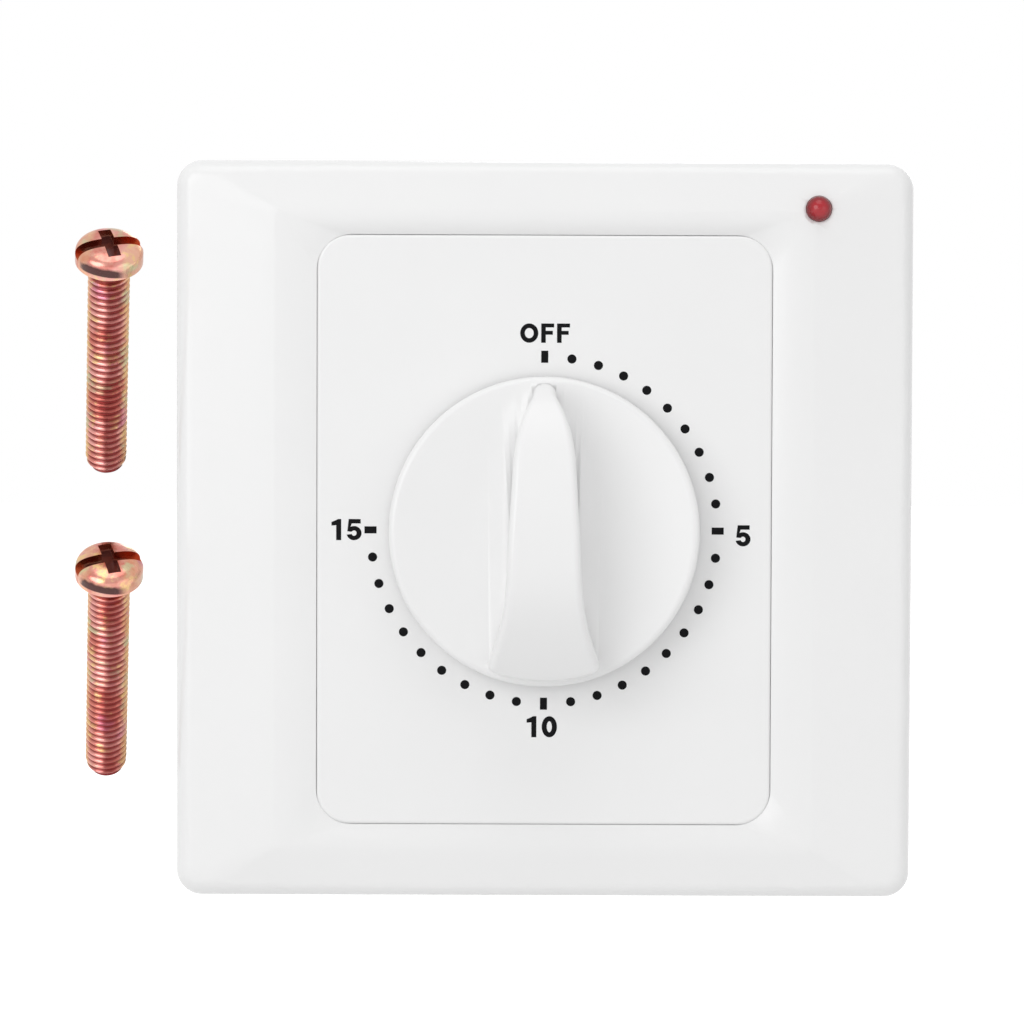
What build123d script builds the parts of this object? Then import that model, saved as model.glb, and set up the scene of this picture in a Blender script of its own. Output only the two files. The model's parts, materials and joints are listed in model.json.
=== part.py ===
from build123d import *
import math
import os

os.makedirs("parts", exist_ok=True)

# Frame: X to the right as seen from the room, Z up, Y into the wall, millimetres. The origin is
# the middle of the plate on the wall's surface. A level is a distance from the wall towards the
# room, so it is negative inside the wall. A place is (x, z).

# General
overrun = 1.0                # how far a cut runs past what it cuts
running_gap = 0.04           # between a turning arbor or shaft and its hole
slip_gap = 0.1               # between pieces that slide together and stay

# Front frame
plate_width = 86.0           # across and up
plate_proud = 9.0            # level of the raised flat
plate_corner = 3.0
edge_round = 2.2
side_wall = 2.2
front_wall = 2.0
border_drop = 1.2            # how far the sloping borders fall to the edge
side_border = 11.6           # width of the sloping border at left and right
end_border = 5.9             # and at top and bottom
flat_corner = 0.6            # radius at the corners of the raised flat
flat_round = 2.5             # soft bend between the flat and the borders
lip_wall = 1.5               # lip around the opening, behind the front wall
lip_depth = 1.0
ledge_gap = 0.15             # between the panel's edge and the ledge under it
pry_width = 9.0              # notch in the lower edge for a screwdriver
pry_height = 1.2

# Dial panel
panel_side = 16.55           # from the plate's edge to the panel at left and right
panel_end = 8.7              # and at top and bottom
panel_corner = 3.8
panel_gap = 0.3              # joint between the panel and the frame
panel_step = 0.15            # how far the panel stands ahead of the frame
panel_wall = 2.0
panel_edge = 0.4
skirt_inset = 1.0
skirt_wall = 1.5
dial_hole_radius = 3.4
dial_boss_radius = 5.6
dial_boss_depth = 3.2
rib_wall = 1.0
rib_depth = 1.6

# Knob
knob_radius = 17.9
knob_gap = 0.65              # between the knob and the panel
rim_level = 16.3
rim_round = 0.7
wing_level = 14.2            # lowest level of the scooped face, under the grip
grip_level = 26.0
grip_ledge = 1.0             # rim left in front of the grip's wide end
grip_nose = 1.3              # half width where the grip's pointer end begins
grip_edge = 0.8
grip_foot_round = 1.0        # at the two corners of the wide end, and of the pointer end
grip_nose_round = 0.5
grip_flank_shares = [        # place along the radius and half width, of the knob's radius
    (0.61, 0.177), (0.27, 0.209), (0.0, 0.225), (-0.27, 0.236), (-0.54, 0.268), (-0.76, 0.33),
]
grip_nose_share = 0.87
grip_tip_share = 0.955
grip_foot_share = 0.372
crest_shares = [             # place along the radius, and height above the rim of the grip's height
    (0.995, -0.05), (0.87, 0.5), (0.5, 0.87), (0.0, 1.0), (-0.45, 0.9), (-0.72, 0.62), (-1.0, 0.1),
]
knob_wall = 1.9              # side wall
knob_ceiling = 1.6           # wall behind the wings
hub_radius = 5.0
hub_bore_level = 19.8
upper_pocket = (3.4, 6.2, 12.4, 21.0)      # width, lower and upper end, level of its floor
lower_pocket = (5.0, -13.6, -6.2, 20.0)
knob_rib_wall = 1.2
knob_rib_depth = 1.0
clip_thick = 0.4
clip_width = 4.0
clip_lip = 1.4

# Base plate
base_gap = 1.0               # between the base plate's rim and the frame's side wall
base_thick = 2.2
base_corner = 1.5
seat_level = 0.6             # recess in the back, where the movement and its housing sit
rim_wall = 1.6
base_rim_level = 5.5
seat_gap = 0.5               # between the recess and the housing, and its lugs
hook_room = 0.7              # between the recess and the hooks of the panel's legs
shaft_opening_radius = 4.9
catch_place = 22.0           # height of the four catches above and below the middle
catch_length = 8.0
catch_level = 2.9
catch_rise = 0.7
catch_run = 1.0
hook_gap = 0.3
hook_reach = 0.8
screw_spacing = 60.3         # the wall box's own screw spacing
slot_width = 5.5
slot_length = 8.0
leg_place = 14.0
leg_width = 7.0
leg_thick = 1.2
leg_tip_level = -0.9
leg_hook = 1.0
leg_clearance = 0.3
leg_flex = 0.9               # room for a leg to bend inwards while its hook goes through
boss_radius = 2.1
boss_level = 4.8

# Lamp and its board
lamp_side, lamp_end = 11.2, 5.5     # from the plate's edges to the lamp's axis
lamp_radius = 1.5
lamp_hole_gap = 0.12
lamp_hole_chamfer = 0.3
lamp_flange_radius = 1.7
lamp_flange_back = 5.6
lamp_flange_thick = 0.6
lamp_shoulder_level = 8.6
lead_radius = 0.25
lead_spacing = 2.54
lead_tail = 0.5              # length of a lead behind the board
board_back = 2.8
board_thick = 1.2
board_left_reach, board_right_reach = 1.2, 6.0     # from the lamp's axis to the board's edges
board_low_reach, board_high_reach = 17.5, 0.5
tab_reach, tab_drop = 2.4, 2.9       # widening beside the lamp's leads
board_corner = 0.6
post_offsets = [(4.8, -16.0), (4.8, -0.9)]         # from the lamp's axis
board_post_radius = 1.3
board_pin_radius = 0.6
board_pin_rise = 0.5
lead_hole_gap = 0.1
resistor_offset = (4.3, -8.7)        # from the lamp's axis
resistor_radius = 0.9
resistor_length = 6.2
diode_offset = (1.0, -11.1)
diode_radius = 0.85
diode_length = 4.2
axial_lead_radius = 0.3
axial_lead_span = 3.2        # lead beyond both ends of a body, in all
axial_bulge = 0.12
axial_bulge_length = 1.4
axial_lift = 0.1             # gap between a body and the board

# Wires from the board to the terminals
wire_radius = 0.6
wire_joint = 0.6             # from the board's left edge to the end of a wire
wire_rise = 6.0              # height of the first wire above the terminals' lower side
wire_pitch = 1.4             # between the two wires
wire_turns = (15.5, 12.2)    # x where they turn into the wall
wire_cross_level = -7.0      # level at which the second wire crosses to the line terminal
wire_land = -11.0            # x where the second wire ends
wire_bend = 2.5
wire_room = 0.3              # around the wires, where they go through the panel's skirt and the base plate

# Movement frame
frame_side_margin = 0.06     # from the second wheel to the side of the plates
frame_end_margin = 0.56      # and to their lower end
movement_corner = 2.0
movement_plate = 1.0
movement_space = 16.0        # between the two plates
pillar_inset = 2.5           # from the plates' edges
pillar_radius = 1.75
pillar_tenon = 1.0
pillar_stud = 1.25
stud_proud = 1.8             # stud beyond the rear plate
nut_width = 4.5
nut_height = 1.6
fixing_side, fixing_top, fixing_bottom = 7.0, 7.0, 5.0     # from the plates' edges
fixing_radius = 1.25
fixing_head_radius = 2.3
fixing_head = 1.4
fixing_gap = 0.15
screw_slot = 0.6             # width and depth of a screwdriver slot

# Main shaft
shaft_radius = 3.0
shaft_end_level = 19.5
flat_offset = 1.6            # from the shaft's axis to its flat
flat_start_level = 9.3
shaft_chamfer = 0.4
seat_radius = 2.5            # seat of the main wheel
tail_radius = 2.2            # from the rear plate on
tail_flat_offset = 1.5
tail_length = 5.6            # beyond the rear plate
groove_radius = 1.75
ring_thick = 0.5
ring_radius = 3.4
ring_mouth = 2.4
bush_radius = 3.9
bush_flange_radius = 4.6
bush_flange_thick = 1.0

# Mainspring: half turns about two centres in turn
spring_width = 5.0
spring_thick = 0.3
spring_turns = 7
spring_pitch = 1.6
spring_gap = 1.0             # to the front plate and to the main wheel
post_radius = 1.2
post_tenon = 0.8
post_overlap = 0.5           # how far the post reaches past the spring
hook_sweep = 240.0           # of the spring's end round its post

# Wheels: leaves and teeth follow the module, the rest is in millimetres
wheel_teeth, pinion_leaves = 60, 10
third_teeth, escape_leaves = 54, 9
main_module, second_module, third_module = 0.5, 0.4, 0.35
wheel_tooth_shares = (1.1, 1.35, 0.225, 0.08)     # addendum, dedendum, half pitch, half tip
leaf_shares = (0.8, 1.5, 0.205, 0.09)
main_openings = (12.6, 6.6, 2.4)     # outer and inner radius, and width of the arms between
second_openings = (9.9, 3.4, 1.8)
third_openings = (7.5, 3.0, 1.5)
escape_openings = (3.3, 1.7, 0.9)
main_wheel_thick = 1.0
second_wheel_thick = 0.8
third_wheel_thick = 0.7
washer_thick = 0.3
washer_dish = 0.4
washer_radius = 6.0
collar_radius = 4.2
collar_thick = 1.0
wheel_gap = 1.2              # between wheels that pass each other
pinion_overlap = 0.5         # how far a pinion reaches past the wheel that drives it
arbor_radius = 1.0
fine_arbor_radius = 0.7
pivot_radius = 0.5
arbor_end_gap = 0.2
second_bearing = -126.87     # direction of each arbor from the one before
third_bearing = -12.0
escape_bearing = 20.0
verge_bearing = 69.3

# Escapement
escape_teeth = 15
escape_tip_radius = 6.0
escape_root_radius = 4.4
escape_tip_half = 0.12
escape_root_half = 0.55
escape_thick = 0.7
pallet_angle = 52.1          # of each pallet from the line between the two arbors
pallet_gap = 0.12
pallet_half = 0.3
pallet_relief = 0.75
pallet_back = 1.7
pallet_root = (0.9, 1.1)     # the arm's edges at the staff, inward and outward
verge_hub_radius = 1.7
verge_overlap = 0.1          # how far the pallets reach past both sides of the escape wheel
inertia_level = -4.4
inertia_length = 18.0
inertia_width = 2.4
inertia_thick = 2.0
inertia_hub_radius = 2.0

# Cam and end stops
knob_travel = 270.0
cam_radius = 9.0
cam_thick = 2.2
notch_depth = 1.9
notch_half = 2.4
notch_floor_half = 0.8
lug_radius = 11.5
lug_width = 4.0
lug_thick = 1.1
lug_hub_radius = 5.0
cam_lift = 0.8               # between the rear plate and the lug
pin_ring_radius = 10.8
pin_radius = 1.0
stop_gap = 0.15
pin_clearance = 0.3          # between a stop pin and the cam's disc

# Housing
housing_wall = 1.5
housing_gap = 0.5            # between the housing and the movement's plates
leg_room = 0.3               # between the housing and the panel's upper legs
housing_back = -32.0
housing_corner = 2.0
housing_edge = 0.8
lug_side, lug_top, lug_bottom = 3.0, 7.8, 7.0      # from the housing's sides and ends
housing_lug_radius = 3.0
housing_lug_thick = 4.0
cover_screw_radius = 1.3
cover_screw_gap = 0.15
cover_head_radius = 2.5
cover_head = 1.6
cradle_wall = 1.2
cradle_depth = 6.5
cradle_drop = 2.0            # how far a cradle reaches below its terminal

# Terminals and contacts
terminal_place = 13.0
terminal_size = (8.0, 7.0)   # width and height
terminal_front_gap = 2.2     # behind the rear plate
entry_radius = 1.7
entry_depth = 8.0
entry_margin = 0.8           # around a wire entry, in the housing's window
clamp_radius = 1.5
clamp_level = -26.0
clamp_head_radius = 2.4
clamp_head = 1.3
clamp_tip_gap = 0.1          # between a clamping screw and the wire entry
clamp_hole_radius = 2.9
contact_thick = 0.3
contact_width = 2.8
leaf_out = 17.4              # x of the upright part of each contact
leaf_height = 10.7
leaf_nose = 7.5
nose_half = 2.6
leaf_end = 10.8
fixed_rise = 3.9             # from the moving strip to the fixed one
fixed_end = 6.6
contact_bend = 0.6
contact_gap = 1.5            # between the two contact faces at OFF
rivet_place = 8.8
rivet_radius = 1.2
rivet_stem = 0.6
rivet_tail = 0.3

# Loose mounting screws
loose_side, loose_tip_level = 8.7, 2.0     # from the plate's edge to the tips, and the tips' level
loose_tip_heights = (7.3, -28.4)
loose_lean = 5.4             # sideways
loose_rake = 38.0            # towards the viewer, out of the plate's plane
loose_length = 30.0
loose_radius = 2.42
loose_head_radius = 3.88
loose_head_height = 2.7
loose_head_chamfer = 1.3
loose_tip_chamfer = 0.5
recess_depth = 1.7
recess_slot = 1.15
recess_arm = 5.0
recess_turn = 12.0

# Sizes worked out from those above
panel_width = plate_width - 2 * panel_side
panel_height = plate_width - 2 * panel_end
skirt_width = panel_width - 2 * skirt_inset
skirt_height = panel_height - 2 * skirt_inset
flat_width = plate_width - 2 * side_border
flat_height = plate_width - 2 * end_border
edge_level = plate_proud - border_drop
inner_width = plate_width - 2 * side_wall
base_width = inner_width - 2 * base_gap
panel_level = plate_proud + panel_step
panel_back = panel_level - panel_wall
knob_back = panel_level + knob_gap
front_plate_back = seat_level - movement_plate
rear_plate_front = front_plate_back - movement_space
rear_plate_back = rear_plate_front - movement_plate
spring_front = front_plate_back - spring_gap
spring_back = spring_front - spring_width
main_wheel_front = spring_back - spring_gap
main_wheel_back = main_wheel_front - main_wheel_thick
washer_back = main_wheel_back - washer_thick - washer_dish
collar_back = washer_back - collar_thick
second_wheel_front = main_wheel_back - pinion_overlap - wheel_gap
second_wheel_back = second_wheel_front - second_wheel_thick
third_wheel_front = second_wheel_back - pinion_overlap - wheel_gap
third_wheel_back = third_wheel_front - third_wheel_thick
escape_front = third_wheel_back - pinion_overlap - wheel_gap
escape_back = escape_front - escape_thick
lug_front = rear_plate_back - cam_lift
cam_front = lug_front - lug_thick
cam_back = cam_front - cam_thick
tail_end = rear_plate_back - tail_length
terminal_front = rear_plate_back - terminal_front_gap
terminal_back = housing_back + housing_wall
contact_back = terminal_front - contact_width
housing_high = skirt_height / 2 - leg_thick - leg_room
housing_inner_high = housing_high - housing_wall
terminal_high = housing_inner_high - clamp_head
terminal_low = terminal_high - terminal_size[1]
entry_height = (terminal_low + terminal_high) / 2
clamp_tip_height = entry_height + entry_radius + clamp_tip_gap
lamp_place = (plate_width / 2 - lamp_side, plate_width / 2 - lamp_end)
board_front = board_back + board_thick
board_left, board_right = lamp_place[0] - board_left_reach, lamp_place[0] + board_right_reach
board_low, board_high = lamp_place[1] - board_low_reach, lamp_place[1] + board_high_reach
board_tab_left, board_tab_low = lamp_place[0] - tab_reach, lamp_place[1] - tab_drop
board_post_places = [(lamp_place[0] + x, lamp_place[1] + z) for x, z in post_offsets]
resistor_place = (lamp_place[0] + resistor_offset[0], lamp_place[1] + resistor_offset[1])
diode_place = (lamp_place[0] + diode_offset[0], lamp_place[1] + diode_offset[1])
wire_rows = (terminal_low + wire_rise, terminal_low + wire_rise + wire_pitch)
wire_middle = (sum(wire_turns) / 2, sum(wire_rows) / 2)
wire_opening_width = wire_turns[0] - wire_turns[1] + 2 * (wire_radius + wire_room)
wire_opening_height = wire_pitch + 2 * (wire_radius + wire_room)
contact_level = (terminal_front + contact_back) / 2
fixed_height = leaf_height + fixed_rise
rivet_rise = (fixed_rise - contact_thick - contact_gap) / 2


def polar(place, distance, bearing):
    """The place at this distance and direction, in degrees, from another."""
    turn = math.radians(bearing)
    return (place[0] + distance * math.cos(turn), place[1] + distance * math.sin(turn))


def spacing(teeth, leaves, module_size):
    """The distance between the arbors of a wheel and the pinion that it drives."""
    return (teeth + leaves) * module_size / 2


second_place = polar((0, 0), spacing(wheel_teeth, pinion_leaves, main_module), second_bearing)
third_place = polar(second_place, spacing(wheel_teeth, pinion_leaves, second_module), third_bearing)
escape_place = polar(third_place, spacing(third_teeth, escape_leaves, third_module), escape_bearing)
verge_distance = escape_tip_radius / math.cos(math.radians(pallet_angle))
verge_place = polar(escape_place, verge_distance, verge_bearing)

# The movement's plates hold the second wheel, and the housing holds the plates
wheel_reach = (wheel_teeth / 2 + wheel_tooth_shares[0]) * second_module
movement_width = 2 * (wheel_reach - second_place[0] + frame_side_margin)
movement_height = 2 * (wheel_reach - second_place[1] + frame_end_margin)
pillar_x, pillar_z = movement_width / 2 - pillar_inset, movement_height / 2 - pillar_inset
pillar_places = [(x, z) for x in (-pillar_x, pillar_x) for z in (-pillar_z, pillar_z)]
fixing_x = movement_width / 2 - fixing_side
fixing_heights = (movement_height / 2 - fixing_top, fixing_bottom - movement_height / 2)
fixing_places = [(x, z) for z in fixing_heights for x in (fixing_x, -fixing_x)]
housing_width = movement_width + 2 * (housing_gap + housing_wall)
housing_low = -(movement_height / 2 + housing_gap + housing_wall)
housing_inner_width = housing_width - 2 * housing_wall
housing_inner_low = housing_low + housing_wall
lug_x = housing_width / 2 + lug_side
lug_heights = (housing_high - lug_top, housing_low + lug_bottom)
lug_places = [(x, z) for z in lug_heights for x in (lug_x, -lug_x)]
seat_width = housing_width + 2 * seat_gap
seat_height = skirt_height + 2 * (leg_hook + hook_room)


def level(proud):
    """The plane parallel to the wall at this level, facing the room."""
    return Plane.XZ.offset(proud)


def disc(radius, back, front, *places, mode=Mode.ADD):
    """Round bars square to the wall between two levels, in the part that is being built."""
    with BuildSketch(level(back)) as section:
        with Locations(*(places or [(0, 0)])):
            Circle(radius)
    extrude(section.sketch, amount=front - back, mode=mode)


def slab(width, height, back, front, *places, mode=Mode.ADD):
    """Rectangular bars square to the wall between two levels, in the part that is being built."""
    with BuildSketch(level(back)) as section:
        with Locations(*(places or [(0, 0)])):
            Rectangle(width, height)
    extrude(section.sketch, amount=front - back, mode=mode)


def tooth_points(place, teeth, radii, halves, first):
    """The corners of a toothed outline, from the radii and half widths of one tooth."""
    points = []
    for number in range(teeth):
        middle = first + 2 * math.pi * number / teeth
        for side, rows in ((-1, zip(radii, halves)), (1, zip(radii[::-1], halves[::-1]))):
            for radius, half in rows:
                angle = middle + side * half / radius
                points.append(polar(place, radius, math.degrees(angle)))
    return points


def wheel_points(place, teeth, module_size, shares, bearing, gap=False):
    """A wheel's or pinion's outline with a tooth, or with a gap, in the given direction."""
    addendum_share, dedendum_share, pitch_share, tip_share = shares
    middle = teeth * module_size / 2
    pitch = math.pi * module_size
    radii = (middle - dedendum_share * module_size, middle, middle + addendum_share * module_size)
    halves = (pitch_share * pitch, pitch_share * pitch, tip_share * pitch)
    turn = math.radians(bearing) + (math.pi / teeth if gap else 0)
    return tooth_points(place, teeth, radii, halves, turn)


def toothed_disc(points, place, bore, back, front, openings=None):
    """A toothed disc with a bore, and perhaps openings between four arms, in the part being built."""
    with BuildSketch(level(back)) as section:
        with BuildLine():
            Polyline(*points, close=True)
        make_face()
        with Locations(place):
            Circle(bore, mode=Mode.SUBTRACT)
    extrude(section.sketch, amount=front - back)
    if openings:
        outer, inner, arm = openings
        with BuildSketch(level(back)) as opening:
            with Locations(place):
                Circle(outer)
                Circle(inner, mode=Mode.SUBTRACT)
                Rectangle(2 * outer, arm, mode=Mode.SUBTRACT)
                Rectangle(arm, 2 * outer, mode=Mode.SUBTRACT)
        extrude(opening.sketch, amount=front - back, mode=Mode.SUBTRACT)


def turning_arbor(place, radius):
    """An arbor between the two movement plates, with a pivot at both ends."""
    disc(radius, rear_plate_front + arbor_end_gap, front_plate_back - arbor_end_gap, place)
    disc(pivot_radius, rear_plate_back + arbor_end_gap / 2, seat_level - arbor_end_gap / 2, place)


def d_bore(radius, flat):
    """Cuts a round hole with one flat in the sketch that is being drawn."""
    Circle(radius, mode=Mode.SUBTRACT)
    with Locations((0, flat + radius / 2)):
        Rectangle(2 * radius, radius)


def strip(points, side):
    """A bent contact strip standing square to the wall, on one side of the line that it follows."""
    with BuildSketch(level(contact_back)) as section:
        with BuildLine():
            path = FilletPolyline(*points, radius=contact_bend)
            offset(path, amount=contact_thick, side=side)
        make_face()
    extrude(section.sketch, amount=contact_width)


# Front frame: a shallow four-sided pyramid with rolled edges, hollow behind, with a ledge round its opening
with BuildPart() as front_frame:
    with BuildSketch(level(0)):
        RectangleRounded(plate_width, plate_width, plate_corner)
    extrude(amount=edge_level)
    with BuildSketch(level(edge_level)):
        RectangleRounded(plate_width, plate_width, plate_corner)
    with BuildSketch(level(plate_proud)):
        RectangleRounded(flat_width, flat_height, flat_corner)
    loft(ruled=True)
    fillet(front_frame.edges().filter_by_position(Axis.Y, -edge_level, -edge_level), edge_round)
    fillet(front_frame.edges().filter_by_position(Axis.Y, -plate_proud, -plate_proud), flat_round)
    slab(inner_width, inner_width, -overrun, edge_level - front_wall, mode=Mode.SUBTRACT)
    with BuildSketch(level(edge_level - front_wall)):
        Rectangle(inner_width, inner_width)
    with BuildSketch(level(plate_proud - front_wall)):
        Rectangle(flat_width, flat_height)
    loft(ruled=True, mode=Mode.SUBTRACT)
    lip_width = panel_width + 2 * (panel_gap + lip_wall)
    lip_height = panel_height + 2 * (panel_gap + lip_wall)
    with BuildSketch(level(plate_proud - front_wall - lip_depth)):
        RectangleRounded(lip_width, lip_height, panel_corner + panel_gap + lip_wall)
    extrude(amount=lip_depth + front_wall / 2)
    with BuildSketch(level(0)):
        RectangleRounded(
            skirt_width + 2 * slip_gap, skirt_height + 2 * slip_gap, panel_corner - skirt_inset + slip_gap,
        )
    extrude(amount=plate_proud + overrun, mode=Mode.SUBTRACT)
    with BuildSketch(level(panel_back - ledge_gap)):
        RectangleRounded(panel_width + 2 * panel_gap, panel_height + 2 * panel_gap, panel_corner + panel_gap)
    extrude(amount=front_wall + overrun, mode=Mode.SUBTRACT)
    disc(lamp_radius + lamp_hole_gap, 0, plate_proud + overrun, lamp_place, mode=Mode.SUBTRACT)
    with BuildSketch(level(plate_proud - lamp_hole_chamfer)):
        with Locations(lamp_place):
            Circle(lamp_radius + lamp_hole_gap)
    extrude(amount=2 * lamp_hole_chamfer, taper=-45, mode=Mode.SUBTRACT)
    for side in (-1, 1):
        with BuildSketch(Plane.XY.offset(side * catch_place - catch_length / 2)):
            with BuildLine():
                Polyline(
                    (inner_width / 2 + side_wall / 2, -(catch_level - hook_gap)),
                    (inner_width / 2 - hook_reach, -(catch_level - hook_gap)),
                    (inner_width / 2, -(catch_level - hook_gap - catch_run)),
                    (inner_width / 2 + side_wall / 2, -(catch_level - hook_gap - catch_run)),
                    close=True,
                )
            make_face()
            mirror(about=Plane.YZ)
        extrude(amount=catch_length)
    with BuildSketch(level(-overrun)):
        with Locations((0, -plate_width / 2)):
            Rectangle(pry_width, 2 * side_wall + overrun)
    extrude(amount=pry_height + overrun, mode=Mode.SUBTRACT)

# Dial panel: a rounded plate on a skirt, with a sleeve for the shaft, ribs and four snap legs
with BuildPart() as dial_panel:
    with BuildSketch(level(panel_back)):
        RectangleRounded(panel_width, panel_height, panel_corner)
    extrude(amount=panel_wall)
    fillet(dial_panel.faces().sort_by(Axis.Y)[0].edges(), panel_edge)
    with BuildSketch(level(base_thick)):
        RectangleRounded(skirt_width, skirt_height, panel_corner - skirt_inset)
        RectangleRounded(
            skirt_width - 2 * skirt_wall, skirt_height - 2 * skirt_wall,
            panel_corner - skirt_inset - skirt_wall, mode=Mode.SUBTRACT,
        )
    extrude(amount=panel_back - base_thick)
    disc(dial_boss_radius, panel_back - dial_boss_depth, panel_back)
    slab(rib_wall, skirt_height - skirt_wall, panel_back - rib_depth, panel_back)
    slab(skirt_width - skirt_wall, rib_wall, panel_back - rib_depth, panel_back)
    disc(dial_hole_radius, -overrun, panel_level + overrun, mode=Mode.SUBTRACT)
    for side in (-1, 1):
        with BuildSketch(Plane.YZ.offset(leg_place - leg_width / 2)):
            outer_z = side * skirt_height / 2
            with BuildLine():
                Polyline(
                    (-base_thick - overrun, outer_z),
                    (-seat_level + slip_gap, outer_z),
                    (-seat_level + slip_gap, outer_z + side * leg_hook),
                    (-leg_tip_level, outer_z),
                    (-leg_tip_level, outer_z - side * leg_thick),
                    (-base_thick - overrun, outer_z - side * leg_thick),
                    close=True,
                )
            make_face()
        extrude(amount=leg_width)
    mirror(about=Plane.YZ)
    slab(
        2 * (skirt_wall + slip_gap), wire_opening_height, base_thick - overrun,
        board_front + 2 * wire_radius + wire_room, (skirt_width / 2 - skirt_wall / 2, wire_middle[1]),
        mode=Mode.SUBTRACT,
    )

# Grip: the pointer's plan, cut to its side view
grip_height = grip_level - rim_level
with BuildPart() as grip:
    foot_half = grip_foot_share * knob_radius
    foot_radius = knob_radius - grip_ledge
    foot_z = -math.sqrt(foot_radius**2 - foot_half**2)
    nose_z = grip_nose_share * knob_radius
    flank = [(half * knob_radius, place * knob_radius) for place, half in grip_flank_shares]
    with BuildSketch(level(wing_level - knob_ceiling / 2)):
        with BuildLine():
            Spline((grip_nose, nose_z), *flank, (foot_half, foot_z))
            mirror(about=Plane.YZ)
            ThreePointArc((-grip_nose, nose_z), (0, grip_tip_share * knob_radius), (grip_nose, nose_z))
            ThreePointArc((-foot_half, foot_z), (0, -foot_radius), (foot_half, foot_z))
        make_face()
    extrude(amount=grip_level)
    fillet(grip.edges().filter_by(Axis.Y).sort_by(Axis.Z)[:2], grip_foot_round)
    fillet(grip.edges().filter_by(Axis.Y).sort_by(Axis.Z)[-2:], grip_nose_round)
    crest = [(-(rim_level + rise * grip_height), place * knob_radius) for place, rise in crest_shares]
    with BuildSketch(Plane.YZ.offset(-knob_radius)):
        with BuildLine():
            Spline(*crest)
            Polyline(crest[-1], (0, crest[-1][1]), (0, crest[0][1]), crest[0])
        make_face()
    extrude(amount=2 * knob_radius, mode=Mode.INTERSECT)
    fillet(grip.faces().sort_by(Axis.Y)[0].edges(), grip_edge)

# Knob: a disc with a scooped face, hollow behind, with a hub for the shaft
with BuildPart() as knob:
    disc(knob_radius, knob_back, grip_level)
    wing_edge = knob_radius + overrun
    with BuildSketch(Plane.XY.offset(-wing_edge)):
        with BuildLine():
            ThreePointArc((wing_edge, -rim_level), (0, -wing_level), (-wing_edge, -rim_level))
            Polyline(
                (-wing_edge, -rim_level), (-wing_edge, -grip_level - overrun),
                (wing_edge, -grip_level - overrun), (wing_edge, -rim_level),
            )
        make_face()
    extrude(amount=2 * wing_edge, mode=Mode.SUBTRACT)
    outer_wall = knob.faces().filter_by(GeomType.CYLINDER).sort_by(SortBy.AREA)[-1]
    fillet(outer_wall.edges().filter_by(lambda edge: -knob_back - edge.center().Y > overrun
                                        and edge.geom_type != GeomType.LINE), rim_round)
    add(grip.part)
    cavity_ceiling = wing_level - knob_ceiling
    with BuildSketch(level(knob_back)):
        Circle(knob_radius - knob_wall)
        Circle(hub_radius, mode=Mode.SUBTRACT)
    extrude(amount=cavity_ceiling - knob_back, mode=Mode.SUBTRACT)
    for width, low, high, floor in (upper_pocket, lower_pocket):
        slab(width, high - low, cavity_ceiling - overrun, floor, (0, (low + high) / 2), mode=Mode.SUBTRACT)
    rib_reach = knob_radius - knob_wall / 2
    with BuildSketch(level(cavity_ceiling - knob_rib_depth)):
        with PolarLocations(0, 4, start_angle=45):
            with Locations(((hub_radius + rib_reach) / 2, 0)):
                Rectangle(rib_reach - hub_radius + slip_gap, knob_rib_wall)
    extrude(amount=knob_rib_depth)
    bore_radius = shaft_radius + slip_gap / 2
    bore_flat = flat_offset + clip_thick + slip_gap
    with BuildSketch(level(knob_back - overrun)):
        Circle(bore_radius)
        with Locations((0, bore_flat + shaft_radius)):
            Rectangle(2 * shaft_radius, 2 * shaft_radius, mode=Mode.SUBTRACT)
    extrude(amount=hub_bore_level - knob_back + overrun, mode=Mode.SUBTRACT)

# Knob clip: a flat spring between the bore and the shaft's flat, with a lip over the hub's end
with BuildPart() as knob_clip:
    clip_low = flat_offset + slip_gap / 2
    slab(clip_width, clip_thick, knob_back - clip_thick, hub_bore_level - 2 * slip_gap, (0, clip_low + clip_thick / 2))
    slab(clip_width, clip_lip, knob_back - clip_thick, knob_back, (0, clip_low + clip_lip / 2))

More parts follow.
